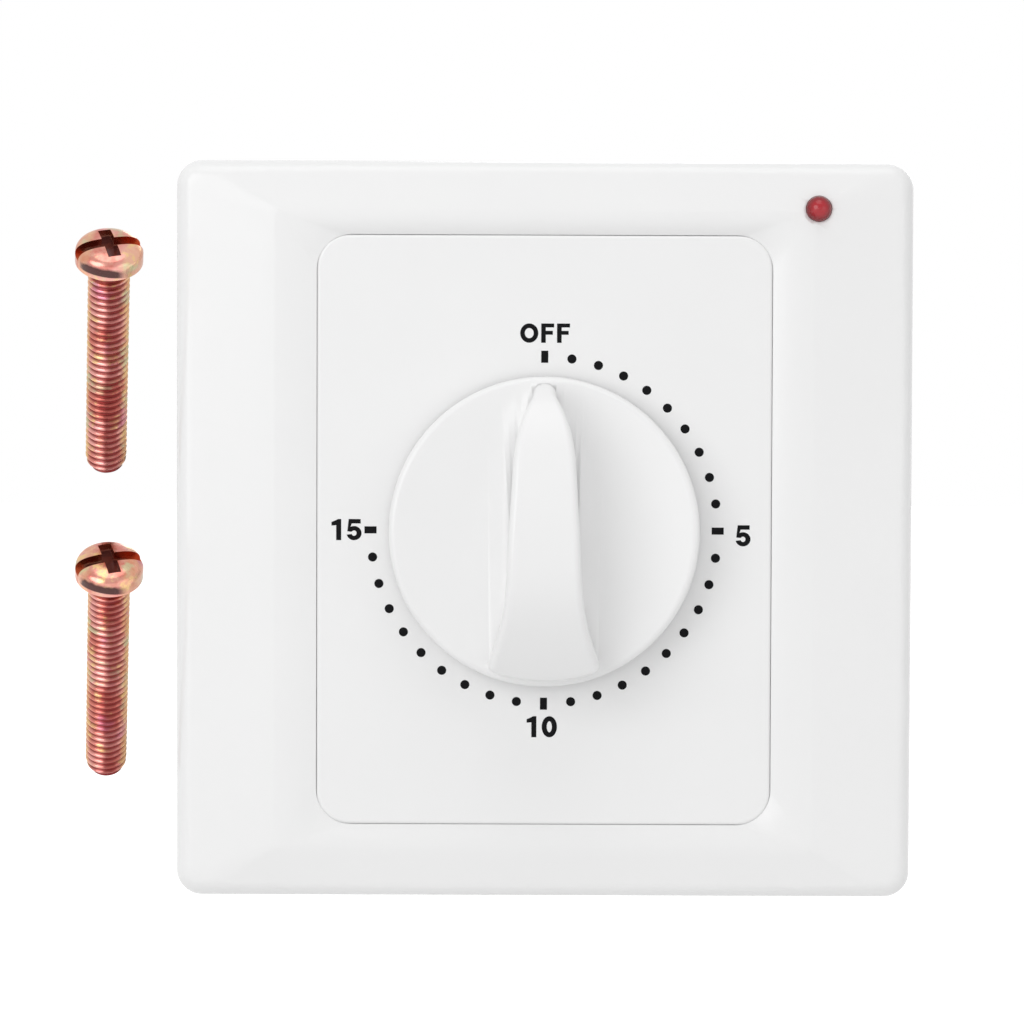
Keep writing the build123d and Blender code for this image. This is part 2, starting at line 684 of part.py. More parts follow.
# Base plate: carries the panel, the frame's catches, the movement, the housing and the lamp
with BuildPart() as base_plate:
    with BuildSketch(level(0)):
        RectangleRounded(base_width, base_width, base_corner + rim_wall)
    extrude(amount=base_rim_level)
    with BuildSketch(level(base_thick)):
        RectangleRounded(base_width - 2 * rim_wall, base_width - 2 * rim_wall, base_corner)
    extrude(amount=base_rim_level, mode=Mode.SUBTRACT)
    for side in (-1, 1):
        with BuildSketch(Plane.XY.offset(side * catch_place - catch_length / 2)):
            with BuildLine():
                Polyline(
                    (base_width / 2 - rim_wall / 2, -catch_level),
                    (base_width / 2 + catch_rise, -catch_level),
                    (base_width / 2, -catch_level - catch_run),
                    (base_width / 2 - rim_wall / 2, -catch_level - catch_run),
                    close=True,
                )
            make_face()
            mirror(about=Plane.YZ)
        extrude(amount=catch_length)
    slab(seat_width, seat_height, -overrun, seat_level, mode=Mode.SUBTRACT)
    lug_seat = 2 * (housing_lug_radius + seat_gap)
    slab(lug_seat, lug_seat, -overrun, seat_level, *lug_places, mode=Mode.SUBTRACT)
    disc(boss_radius, base_thick, boss_level, *lug_places)
    disc(cover_screw_radius, -overrun, boss_level + overrun, *lug_places, mode=Mode.SUBTRACT)
    disc(shaft_opening_radius, -overrun, base_thick + overrun, mode=Mode.SUBTRACT)
    disc(fixing_radius + fixing_gap, -overrun, base_thick + overrun, *fixing_places, mode=Mode.SUBTRACT)
    with BuildSketch(level(-overrun)):
        with Locations((screw_spacing / 2, 0), (-screw_spacing / 2, 0)):
            SlotOverall(slot_length, slot_width)
    extrude(amount=base_thick + 2 * overrun, mode=Mode.SUBTRACT)
    leg_window = leg_flex + leg_thick + leg_clearance
    leg_centre = skirt_height / 2 + leg_clearance - leg_window / 2
    slab(
        leg_width + 2 * leg_clearance, leg_window, -overrun, base_thick + overrun,
        (leg_place, leg_centre), (-leg_place, leg_centre), (leg_place, -leg_centre), (-leg_place, -leg_centre),
        mode=Mode.SUBTRACT,
    )
    slab(
        wire_opening_width, wire_opening_height, -overrun, base_thick + overrun, wire_middle,
        mode=Mode.SUBTRACT,
    )
    disc(board_post_radius, base_thick, board_back, *board_post_places)
    disc(board_pin_radius, board_back, board_front + board_pin_rise, *board_post_places)

# Lamp
with BuildPart() as indicator_led:
    flange_front = lamp_flange_back + lamp_flange_thick
    with BuildSketch(Plane.XY.offset(lamp_place[1])):
        with BuildLine():
            Polyline(
                (lamp_place[0], -lamp_shoulder_level - lamp_radius), (lamp_place[0], -lamp_flange_back),
                (lamp_place[0] + lamp_flange_radius, -lamp_flange_back),
                (lamp_place[0] + lamp_flange_radius, -flange_front),
                (lamp_place[0] + lamp_radius, -flange_front),
                (lamp_place[0] + lamp_radius, -lamp_shoulder_level),
            )
            CenterArc((lamp_place[0], -lamp_shoulder_level), lamp_radius, 270, 90)
        make_face()
    revolve(axis=Axis((lamp_place[0], 0, lamp_place[1]), (0, 1, 0)))

lead_places = [(lamp_place[0] + side * lead_spacing / 2, lamp_place[1]) for side in (-1, 1)]
with BuildPart() as led_leads:
    disc(lead_radius, board_back - lead_tail, lamp_flange_back, *lead_places)


def axial_leads(place, length):
    """The two places where an axial component's leads go through the board."""
    half = (length + axial_lead_span) / 2
    return [(place[0], place[1] - half), (place[0], place[1] + half)]


with BuildPart() as led_board:
    with BuildSketch(level(board_back)):
        with Locations(((board_left + board_right) / 2, (board_low + board_high) / 2)):
            RectangleRounded(board_right - board_left, board_high - board_low, board_corner)
        with Locations(((board_tab_left + lamp_place[0]) / 2, (board_tab_low + board_high) / 2)):
            RectangleRounded(lamp_place[0] - board_tab_left, board_high - board_tab_low, board_corner)
        with Locations(*board_post_places):
            Circle(board_pin_radius, mode=Mode.SUBTRACT)
        with Locations(*lead_places):
            Circle(lead_radius + lead_hole_gap, mode=Mode.SUBTRACT)
        with Locations(*axial_leads(resistor_place, resistor_length), *axial_leads(diode_place, diode_length)):
            Circle(axial_lead_radius + lead_hole_gap, mode=Mode.SUBTRACT)
    extrude(amount=board_thick)


def axial_component(place, radius, length, ends):
    """A round component lying on the board, with its leads bent down through it."""
    x, z = place
    axis_level = board_front + axial_lift + radius + axial_bulge
    low, high = (point[1] for point in axial_leads(place, length))
    tail_level = board_back - lead_tail
    with BuildLine() as wire:
        Polyline(
            (x, -tail_level, low), (x, -axis_level, low), (x, -axis_level, high), (x, -tail_level, high),
        )
    with BuildSketch(level(tail_level)) as section:
        with Locations((x, low)):
            Circle(axial_lead_radius)
    sweep(section.sketch, path=wire.line, transition=Transition.RIGHT)
    for centre, size, reach in ends:
        with BuildSketch(Plane.XY.offset(z + centre - reach / 2)) as round_section:
            with Locations((x, -axis_level)):
                Circle(radius + size)
        extrude(round_section.sketch, amount=reach)


with BuildPart() as dropper_resistor:
    cap_centre = (resistor_length - axial_bulge_length) / 2
    axial_component(
        resistor_place, resistor_radius, resistor_length,
        [(0, 0, resistor_length), (cap_centre, axial_bulge, axial_bulge_length),
         (-cap_centre, axial_bulge, axial_bulge_length)],
    )

with BuildPart() as rectifier_diode:
    axial_component(diode_place, diode_radius, diode_length, [(0, 0, diode_length)])

# Wires from the board, through the panel's skirt and the base plate, to the two terminals
with BuildPart() as indicator_wires:
    wire_level = board_front + wire_radius
    wire_start = board_left + wire_joint
    (first_row, second_row), (first_turn, second_turn) = wire_rows, wire_turns
    routes = [
        [(wire_start, -wire_level, first_row), (first_turn, -wire_level, first_row),
         (first_turn, -terminal_front, first_row)],
        [(wire_start, -wire_level, second_row), (second_turn, -wire_level, second_row),
         (second_turn, -wire_cross_level, second_row),
         (wire_land, -wire_cross_level, first_row), (wire_land, -terminal_front, first_row)],
    ]
    for route in routes:
        with BuildLine() as wire_path:
            FilletPolyline(*route, radius=wire_bend)
        with BuildSketch(Plane(origin=wire_path.line @ 0, z_dir=wire_path.line % 0)):
            Circle(wire_radius)
        sweep(path=wire_path.line)

# Movement frame: two plates on four pillars, fixed to the back of the base plate
arbor_places = [second_place, third_place, escape_place, verge_place]
post_x = -(shaft_radius + spring_turns * spring_pitch + spring_thick + post_radius)

with BuildPart() as front_movement_plate:
    with BuildSketch(level(front_plate_back)):
        RectangleRounded(movement_width, movement_height, movement_corner)
        Circle(bush_radius, mode=Mode.SUBTRACT)
        with Locations(*pillar_places):
            Circle(pillar_tenon, mode=Mode.SUBTRACT)
        with Locations(*fixing_places):
            Circle(fixing_radius, mode=Mode.SUBTRACT)
        with Locations(*arbor_places):
            Circle(pivot_radius + running_gap, mode=Mode.SUBTRACT)
        with Locations((post_x, 0)):
            Circle(post_tenon, mode=Mode.SUBTRACT)
    extrude(amount=movement_plate)

lug_bearing = -(360 - knob_travel) / 2
stop_half = math.degrees(math.asin((lug_width / 2 + pin_radius + stop_gap) / pin_ring_radius))
stop_places = [polar((0, 0), pin_ring_radius, side * (lug_bearing + stop_half)) for side in (-1, 1)]

with BuildPart() as rear_movement_plate:
    with BuildSketch(level(rear_plate_back)):
        RectangleRounded(movement_width, movement_height, movement_corner)
        Circle(tail_radius + running_gap, mode=Mode.SUBTRACT)
        with Locations(*pillar_places):
            Circle(pillar_stud + slip_gap / 2, mode=Mode.SUBTRACT)
        with Locations(*arbor_places):
            Circle(pivot_radius + running_gap, mode=Mode.SUBTRACT)
        with Locations(*stop_places):
            Circle(pin_radius, mode=Mode.SUBTRACT)
    extrude(amount=movement_plate)

with BuildPart() as plate_pillars:
    disc(pillar_radius, rear_plate_front, front_plate_back, *pillar_places)
    disc(pillar_tenon, front_plate_back, seat_level, *pillar_places)
    disc(pillar_stud, rear_plate_back - stud_proud, rear_plate_front, *pillar_places)

with BuildPart() as pillar_nuts:
    with BuildSketch(level(rear_plate_back - nut_height)):
        with Locations(*pillar_places):
            RegularPolygon(nut_width / 2, 6, major_radius=False)
            Circle(pillar_stud, mode=Mode.SUBTRACT)
    extrude(amount=nut_height)

with BuildPart() as movement_screws:
    disc(fixing_radius, front_plate_back, base_thick, *fixing_places)
    disc(fixing_head_radius, base_thick, base_thick + fixing_head, *fixing_places)
    slab(
        2 * fixing_head_radius, screw_slot, base_thick + fixing_head - screw_slot,
        base_thick + fixing_head + overrun, *fixing_places, mode=Mode.SUBTRACT,
    )

with BuildPart() as stop_pins:
    disc(pin_radius, cam_front + pin_clearance, rear_plate_front, *stop_places)

# Main shaft, turned by the knob, with the bush that it runs in
with BuildPart() as main_shaft:
    with BuildSketch(Plane.XY):
        with BuildLine():
            Polyline(
                (0, -shaft_end_level), (shaft_radius - shaft_chamfer, -shaft_end_level),
                (shaft_radius, -shaft_end_level + shaft_chamfer), (shaft_radius, -main_wheel_front),
                (seat_radius, -main_wheel_front), (seat_radius, -collar_back),
                (tail_radius, -collar_back), (tail_radius, -cam_back),
                (groove_radius, -cam_back), (groove_radius, -cam_back + ring_thick),
                (tail_radius, -cam_back + ring_thick), (tail_radius, -tail_end), (0, -tail_end),
                close=True,
            )
        make_face()
    revolve(axis=Axis.Y)
    slab(
        2 * shaft_radius, shaft_radius, flat_start_level, shaft_end_level + overrun,
        (0, flat_offset + shaft_radius / 2), mode=Mode.SUBTRACT,
    )
    slab(
        2 * tail_radius, tail_radius, tail_end - overrun, lug_front + slip_gap,
        (0, tail_flat_offset + tail_radius / 2), mode=Mode.SUBTRACT,
    )

with BuildPart() as shaft_bush:
    disc(bush_radius, front_plate_back, seat_level)
    disc(bush_flange_radius, seat_level, seat_level + bush_flange_thick)
    disc(shaft_radius + running_gap, front_plate_back - overrun, seat_level + overrun + bush_flange_thick,
         mode=Mode.SUBTRACT)

with BuildPart() as retaining_ring:
    with BuildSketch(level(cam_back - ring_thick)):
        Circle(ring_radius)
        Circle(groove_radius, mode=Mode.SUBTRACT)
        with Locations((0, -ring_radius / 2)):
            Rectangle(ring_mouth, ring_radius, mode=Mode.SUBTRACT)
    extrude(amount=ring_thick)

# Mainspring: half turns about two centres in turn, each half a pitch larger, then a hook round its post
with BuildPart() as mainspring:
    with BuildSketch(level(spring_back)):
        with BuildLine():
            for half_turn in range(2 * spring_turns + 1):
                centre = (half_turn % 2 * spring_pitch / 2, 0)
                radius = shaft_radius + half_turn * spring_pitch / 2
                CenterArc(centre, radius, half_turn % 2 * 180, 180)
                CenterArc(centre, radius + spring_thick, half_turn % 2 * 180, 180)
            hook_inner = CenterArc((post_x, 0), post_radius, 0, -hook_sweep)
            hook_outer = CenterArc((post_x, 0), post_radius + spring_thick, 0, -hook_sweep)
            Line(hook_inner @ 1, hook_outer @ 1)
            Line((shaft_radius, 0), (shaft_radius + spring_thick, 0))
        make_face()
    extrude(amount=spring_width)

with BuildPart() as spring_post:
    disc(post_radius, spring_back - post_overlap, front_plate_back, (post_x, 0))
    disc(post_tenon, front_plate_back, seat_level, (post_x, 0))

# Slipping drive: the main wheel is pressed against the shaft's shoulder by a dished washer
with BuildPart() as main_wheel:
    toothed_disc(
        wheel_points((0, 0), wheel_teeth, main_module, wheel_tooth_shares, second_bearing),
        (0, 0), seat_radius, main_wheel_back, main_wheel_front, main_openings,
    )

with BuildPart() as clutch_washer:
    with BuildSketch(Plane.XY):
        with BuildLine():
            Polyline(
                (seat_radius, -washer_back), (seat_radius, -washer_back - washer_thick),
                (washer_radius, -main_wheel_back), (washer_radius, -main_wheel_back + washer_thick),
                close=True,
            )
        make_face()
    revolve(axis=Axis.Y)

with BuildPart() as clutch_collar:
    disc(collar_radius, collar_back, washer_back)
    disc(seat_radius, collar_back, washer_back, mode=Mode.SUBTRACT)

# Train: each pinion is driven by the wheel before it
with BuildPart() as second_arbor:
    turning_arbor(second_place, arbor_radius)

with BuildPart() as second_pinion:
    toothed_disc(
        wheel_points(second_place, pinion_leaves, main_module, leaf_shares, second_bearing + 180, gap=True),
        second_place, arbor_radius, main_wheel_back - pinion_overlap, main_wheel_front + pinion_overlap,
    )

with BuildPart() as second_wheel:
    toothed_disc(
        wheel_points(second_place, wheel_teeth, second_module, wheel_tooth_shares, third_bearing),
        second_place, arbor_radius, second_wheel_back, second_wheel_front, second_openings,
    )

with BuildPart() as third_arbor:
    turning_arbor(third_place, arbor_radius)

with BuildPart() as third_pinion:
    toothed_disc(
        wheel_points(third_place, pinion_leaves, second_module, leaf_shares, third_bearing + 180, gap=True),
        third_place, arbor_radius, second_wheel_back - pinion_overlap, second_wheel_front + pinion_overlap,
    )

with BuildPart() as third_wheel:
    toothed_disc(
        wheel_points(third_place, third_teeth, third_module, wheel_tooth_shares, escape_bearing),
        third_place, arbor_radius, third_wheel_back, third_wheel_front, third_openings,
    )

with BuildPart() as escape_arbor:
    turning_arbor(escape_place, fine_arbor_radius)

with BuildPart() as escape_pinion:
    toothed_disc(
        wheel_points(escape_place, escape_leaves, third_module, leaf_shares, escape_bearing + 180, gap=True),
        escape_place, fine_arbor_radius, third_wheel_back - pinion_overlap, third_wheel_front + pinion_overlap,
    )

# Escapement: slender teeth, and a verge whose two pallets stand just outside their tips
with BuildPart() as escape_wheel:
    first_tooth = math.radians(verge_bearing) + math.pi / escape_teeth
    escape_radii = (escape_root_radius, escape_tip_radius)
    escape_halves = (escape_root_half, escape_tip_half)
    toothed_disc(
        tooth_points(escape_place, escape_teeth, escape_radii, escape_halves, first_tooth),
        escape_place, fine_arbor_radius, escape_back, escape_front, escape_openings,
    )

with BuildPart() as verge_arbor:
    turning_arbor(verge_place, fine_arbor_radius)

with BuildPart() as verge:
    verge_back = escape_back - verge_overlap
    verge_front = escape_front + verge_overlap
    arm_length = escape_tip_radius * math.tan(math.radians(pallet_angle))
    root_inner, root_outer = pallet_root
    arm_outline = [
        (0, -root_inner), (arm_length - pallet_half, pallet_relief), (arm_length - pallet_half, pallet_gap),
        (arm_length + pallet_half, pallet_gap), (arm_length + pallet_half, pallet_back), (0, root_outer),
    ]
    for side in (-1, 1):
        outward = math.radians(verge_bearing + side * pallet_angle)
        away = (math.cos(outward), math.sin(outward))
        along = (side * away[1], -side * away[0])
        corners = [
            (verge_place[0] - along[0] * reach + away[0] * rise, verge_place[1] - along[1] * reach + away[1] * rise)
            for reach, rise in arm_outline
        ]
        with BuildSketch(level(verge_back)):
            with BuildLine():
                Polyline(*corners, close=True)
            make_face()
        extrude(amount=verge_front - verge_back)
    disc(verge_hub_radius, verge_back, verge_front, verge_place)
    disc(fine_arbor_radius, verge_back, verge_front, verge_place, mode=Mode.SUBTRACT)

with BuildPart() as inertia_bar:
    inertia_front = inertia_level + inertia_thick
    slab(inertia_width, inertia_length, inertia_level, inertia_front, verge_place)
    disc(inertia_hub_radius, inertia_level, inertia_front, verge_place)
    disc(fine_arbor_radius, inertia_level, inertia_front, verge_place, mode=Mode.SUBTRACT)

# Cam on the shaft's tail, with a notch for the contact's nose, and a lug between the two stop pins
with BuildPart() as cam:
    with BuildSketch(level(cam_back)):
        Circle(cam_radius)
        with BuildLine():
            Polyline(
                (-notch_half, cam_radius + overrun), (-notch_half, cam_radius),
                (-notch_floor_half, cam_radius - notch_depth), (notch_floor_half, cam_radius - notch_depth),
                (notch_half, cam_radius), (notch_half, cam_radius + overrun), close=True,
            )
        make_face(mode=Mode.SUBTRACT)
        d_bore(tail_radius, tail_flat_offset)
    extrude(amount=cam_thick)
    with BuildSketch(level(cam_front)):
        Circle(lug_hub_radius)
        with PolarLocations(lug_radius / 2, 1, start_angle=lug_bearing):
            Rectangle(lug_radius, lug_width)
        d_bore(tail_radius, tail_flat_offset)
    extrude(amount=lug_thick)

# Contacts: a sprung leaf whose nose rides on the cam, and a fixed strip above its end
with BuildPart() as moving_contact:
    strip(
        [(-terminal_place + terminal_size[0] / 2 - slip_gap, terminal_low), (-leaf_out, terminal_low),
         (-leaf_out, leaf_height), (-nose_half, leaf_height), (0, leaf_nose), (nose_half, leaf_height),
         (leaf_end, leaf_height)],
        Side.LEFT,
    )
    with BuildSketch(Plane.XY.offset(leaf_height - overrun)):
        with Locations((rivet_place, -contact_level)):
            Circle(rivet_stem)
    extrude(amount=2 * overrun, mode=Mode.SUBTRACT)

with BuildPart() as fixed_contact:
    strip(
        [(terminal_place - terminal_size[0] / 2 + slip_gap, terminal_low), (leaf_out, terminal_low),
         (leaf_out, fixed_height), (fixed_end, fixed_height)],
        Side.RIGHT,
    )
    with BuildSketch(Plane.XY.offset(fixed_height - overrun)):
        with Locations((rivet_place, -contact_level)):
            Circle(rivet_stem)
    extrude(amount=2 * overrun, mode=Mode.SUBTRACT)

with BuildPart() as contact_rivets:
    leaf_top = leaf_height + contact_thick
    for face, stem_end, tail_end_height in (
        (leaf_top + rivet_rise, leaf_top, leaf_height - rivet_tail),
        (fixed_height - rivet_rise, fixed_height, fixed_height + contact_thick + rivet_tail),
    ):
        for radius, start, end in ((rivet_radius, face, stem_end), (rivet_stem, stem_end, tail_end_height)):
            with BuildSketch(Plane.XY.offset(start)):
                with Locations((rivet_place, -contact_level)):
                    Circle(radius)
            extrude(amount=end - start)

# Terminals: brass blocks with a wire entry from behind and a clamping screw from above


def terminal(x):
    """A terminal block with its wire entry and the hole of its clamping screw."""
    entry_place = (x, entry_height)
    slab(*terminal_size, terminal_back, terminal_front, (x, terminal_low + terminal_size[1] / 2))
    disc(entry_radius, terminal_back - overrun, terminal_back + entry_depth, entry_place, mode=Mode.SUBTRACT)
    with BuildSketch(Plane.XY.offset(entry_height)) as clamp_hole:
        with Locations((x, -clamp_level)):
            Circle(clamp_radius)
    extrude(clamp_hole.sketch, amount=terminal_high - entry_height + overrun, mode=Mode.SUBTRACT)


with BuildPart() as line_terminal:
    terminal(-terminal_place)

with BuildPart() as load_terminal:
    terminal(terminal_place)

with BuildPart() as terminal_screws:
    clamp_places = [(-terminal_place, -clamp_level), (terminal_place, -clamp_level)]
    with BuildSketch(Plane.XY.offset(clamp_tip_height)):
        with Locations(*clamp_places):
            Circle(clamp_radius)
    extrude(amount=terminal_high - clamp_tip_height)
    with BuildSketch(Plane.XY.offset(terminal_high)):
        with Locations(*clamp_places):
            Circle(clamp_head_radius)
    extrude(amount=clamp_head)
    with BuildSketch(Plane.XY.offset(terminal_high + clamp_head)):
        with Locations(*clamp_places):
            Rectangle(2 * clamp_head_radius + overrun, screw_slot)
    extrude(amount=-screw_slot, mode=Mode.SUBTRACT)

# Rear housing: a tub over the movement and the terminals, on four lugs under the base plate
with BuildPart() as rear_housing:
    housing_middle = (housing_low + housing_high) / 2
    with BuildSketch(level(housing_back)):
        with Locations((0, housing_middle)):
            RectangleRounded(housing_width, housing_high - housing_low, housing_corner)
    extrude(amount=seat_level - housing_back)
    fillet(rear_housing.faces().sort_by(Axis.Y)[-1].edges(), housing_edge)
    web_inner = housing_width / 2 - housing_wall / 2
    for x, z in lug_places:
        out = math.copysign(1, x)
        disc(housing_lug_radius, seat_level - housing_lug_thick, seat_level, (x, z))
        slab(
            abs(x) - web_inner, 2 * housing_lug_radius, seat_level - housing_lug_thick, seat_level,
            (out * (abs(x) + web_inner) / 2, z),
        )
    inner_middle = (housing_inner_low + housing_inner_high) / 2
    with BuildSketch(level(terminal_back)):
        with Locations((0, inner_middle)):
            RectangleRounded(
                housing_inner_width, housing_inner_high - housing_inner_low, housing_corner - housing_wall,
            )
    extrude(amount=seat_level - terminal_back + overrun, mode=Mode.SUBTRACT)
    cradle_low = terminal_low - cradle_drop
    cradle_front = terminal_back + cradle_depth
    cradle_middle = (cradle_low + housing_inner_high) / 2
    cradle_reach = terminal_size[0] / 2 + slip_gap + cradle_wall / 2
    entry_window = 2 * (entry_radius + entry_margin)
    for x in (-terminal_place, terminal_place):
        slab(
            cradle_wall, housing_inner_high - cradle_low, terminal_back, cradle_front,
            (x - cradle_reach, cradle_middle), (x + cradle_reach, cradle_middle),
        )
        slab(
            2 * cradle_reach, cradle_drop - slip_gap, terminal_back, cradle_front,
            (x, (cradle_low + terminal_low - slip_gap) / 2),
        )
        slab(entry_window, entry_window, housing_back - overrun, terminal_back, (x, entry_height),
             mode=Mode.SUBTRACT)
        with BuildSketch(Plane.XY.offset(housing_inner_high - overrun / 2)):
            with Locations((x, -clamp_level)):
                Circle(clamp_hole_radius)
        extrude(amount=housing_wall + overrun, mode=Mode.SUBTRACT)
    disc(
        cover_screw_radius + cover_screw_gap, seat_level - housing_lug_thick - overrun, seat_level + overrun,
        *lug_places, mode=Mode.SUBTRACT,
    )

with BuildPart() as housing_screws:
    cover_head_front = seat_level - housing_lug_thick
    disc(cover_screw_radius, cover_head_front, boss_level - slip_gap, *lug_places)
    disc(cover_head_radius, cover_head_front - cover_head, cover_head_front, *lug_places)
    slab(
        2 * cover_head_radius, screw_slot, cover_head_front - cover_head - overrun,
        cover_head_front - cover_head + screw_slot, *lug_places, mode=Mode.SUBTRACT,
    )

# Loose mounting screws, as they stand beside the plate: raked towards the viewer and leaning sideways
with BuildPart() as mounting_screws:
    rake, lean = math.radians(loose_rake), math.radians(loose_lean)
    up = Vector(math.sin(lean) * math.cos(rake), -math.sin(rake), math.cos(lean) * math.cos(rake))
    side = up.cross(Vector(0, 1, 0)).normalized() * -1
    for height in loose_tip_heights:
        tip = Vector(-plate_width / 2 - loose_side, -loose_tip_level, height)
        with BuildSketch(Plane(origin=tip, x_dir=side, z_dir=side.cross(up))):
            with BuildLine():
                head_high = loose_length + loose_head_height
                Polyline(
                    (0, 0), (loose_radius - loose_tip_chamfer, 0),
                    (loose_radius, loose_tip_chamfer), (loose_radius, loose_length),
                    (loose_head_radius, loose_length), (loose_head_radius, head_high - loose_head_chamfer),
                    (loose_head_radius - loose_head_chamfer, head_high), (0, head_high), close=True,
                )
            make_face()
        revolve(axis=Axis(tip, up))
        with BuildSketch(Plane(origin=tip + up * head_high, x_dir=side, z_dir=up)):
            with Locations(Location((0, 0), recess_turn)):
                Rectangle(2 * loose_head_radius + overrun, recess_slot)
                Rectangle(recess_slot, recess_arm)
        extrude(amount=-recess_depth, mode=Mode.SUBTRACT)

pieces = {
    "front_frame": front_frame, "dial_panel": dial_panel, "knob": knob, "knob_clip": knob_clip,
    "indicator_led": indicator_led, "mounting_screws": mounting_screws, "base_plate": base_plate,
    "led_leads": led_leads, "led_board": led_board, "dropper_resistor": dropper_resistor,
    "rectifier_diode": rectifier_diode, "indicator_wires": indicator_wires,
    "front_movement_plate": front_movement_plate, "rear_movement_plate": rear_movement_plate,
    "plate_pillars": plate_pillars, "pillar_nuts": pillar_nuts, "movement_screws": movement_screws,
    "main_shaft": main_shaft, "shaft_bush": shaft_bush, "retaining_ring": retaining_ring,
    "mainspring": mainspring, "spring_post": spring_post, "main_wheel": main_wheel,
    "clutch_washer": clutch_washer, "clutch_collar": clutch_collar, "second_arbor": second_arbor,
    "second_pinion": second_pinion, "second_wheel": second_wheel, "third_arbor": third_arbor,
    "third_pinion": third_pinion, "third_wheel": third_wheel, "escape_arbor": escape_arbor,
    "escape_pinion": escape_pinion, "escape_wheel": escape_wheel, "verge_arbor": verge_arbor,
    "verge": verge, "inertia_bar": inertia_bar, "cam": cam, "stop_pins": stop_pins,
    "moving_contact": moving_contact, "fixed_contact": fixed_contact, "contact_rivets": contact_rivets,
    "line_terminal": line_terminal, "load_terminal": load_terminal, "terminal_screws": terminal_screws,
    "rear_housing": rear_housing, "housing_screws": housing_screws,
}
for name, piece in pieces.items():
    piece.part.label = name
    export_step(piece.part, f"parts/{name}.step")

print("pieces", len(pieces))
print("mainspring turns", spring_turns + 1 / 2, "least gap to itself", round(spring_pitch - spring_thick, 3))
print("wire bend radii", wire_bend, "wire radius", wire_radius)
print("arbors", second_place, third_place, escape_place, verge_place)
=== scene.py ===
"""Timer light switch: finishes, printed scale, loose screws and stage around the fixed model."""

import json
import math

import bmesh
import bpy
from mathutils import Matrix, Vector

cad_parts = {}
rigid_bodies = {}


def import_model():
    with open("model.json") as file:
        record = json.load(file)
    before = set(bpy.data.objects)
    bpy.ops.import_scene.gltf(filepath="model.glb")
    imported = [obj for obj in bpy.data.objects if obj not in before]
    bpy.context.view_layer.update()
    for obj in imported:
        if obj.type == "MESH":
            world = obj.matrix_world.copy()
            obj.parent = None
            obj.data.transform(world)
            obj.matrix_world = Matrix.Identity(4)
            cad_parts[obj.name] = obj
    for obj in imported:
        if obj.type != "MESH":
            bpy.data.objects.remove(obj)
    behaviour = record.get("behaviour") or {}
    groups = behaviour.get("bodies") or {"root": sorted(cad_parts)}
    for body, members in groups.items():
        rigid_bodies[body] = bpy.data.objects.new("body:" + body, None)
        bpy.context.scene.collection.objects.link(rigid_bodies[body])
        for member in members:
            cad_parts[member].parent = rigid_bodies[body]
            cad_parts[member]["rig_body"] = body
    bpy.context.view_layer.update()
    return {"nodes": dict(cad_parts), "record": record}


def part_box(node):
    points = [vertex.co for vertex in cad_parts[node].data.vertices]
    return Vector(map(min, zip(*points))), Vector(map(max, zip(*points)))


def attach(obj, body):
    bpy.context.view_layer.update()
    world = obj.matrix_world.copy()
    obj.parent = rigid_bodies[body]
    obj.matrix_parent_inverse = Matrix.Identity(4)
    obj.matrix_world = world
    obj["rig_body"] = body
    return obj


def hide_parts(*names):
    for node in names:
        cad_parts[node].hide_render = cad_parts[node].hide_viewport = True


bl_info = {
    "name": "Timer Light Switch",
    "version": (1, 0, 0),
    "blender": (4, 5, 0),
    "location": "View3D > Sidebar > Timer",
    "description": "Finishes, prints and stages the timer light switch",
    "category": "Object",
}

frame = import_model()

MM = 0.001
OPENING_REACH = 0.35 * MM  # from the panel's side to just past the frame's opening
LAMP_REACH = 1.7 * MM  # from the lamp's axis to just past its hole
WELD = MM / 1000  # vertices nearer to each other than this become one
SLOT_EDGE = 0.03  # millimetres by which the recess colour passes the slots' walls
SLOT_BAR = 0.65  # half the length of the cross bar, as a share of the head's radius
PLASTIC_IOR = 1.5
SCREW_CREASE = 50  # degrees between two faces of a screw that stay sharp
SHANK_GRID, HEAD_GRID = (72, 320), (96, 64)  # vertices around and along a loose screw
TIP_TURNS = 2.2  # turns of the thread along which the tip is rounded
TIP_DEPTH = 0.5  # what the rounding takes off at the tip, as a share of the radius
FLOOR_HALF = 3.0
FLOOR_TONES = (0.72, 0.76)
FLOOR_GLOW = 0.62  # added where the camera sees the floor, so that it shows white
PLATE_FRONT = 9 * MM
SENSOR_WIDTH = 36.0
CLIP_START = 0.01

# Nodes that get a smoothly shaded copy, with the angle in degrees above which an edge stays sharp
SMOOTHED = {
    "front_frame": 30, "dial_panel": 30, "knob": 40, "indicator_led": 50, "base_plate": 30,
    "rear_housing": 30, "housing_screws": 30, "terminal_screws": 30, "main_shaft": 30,
}


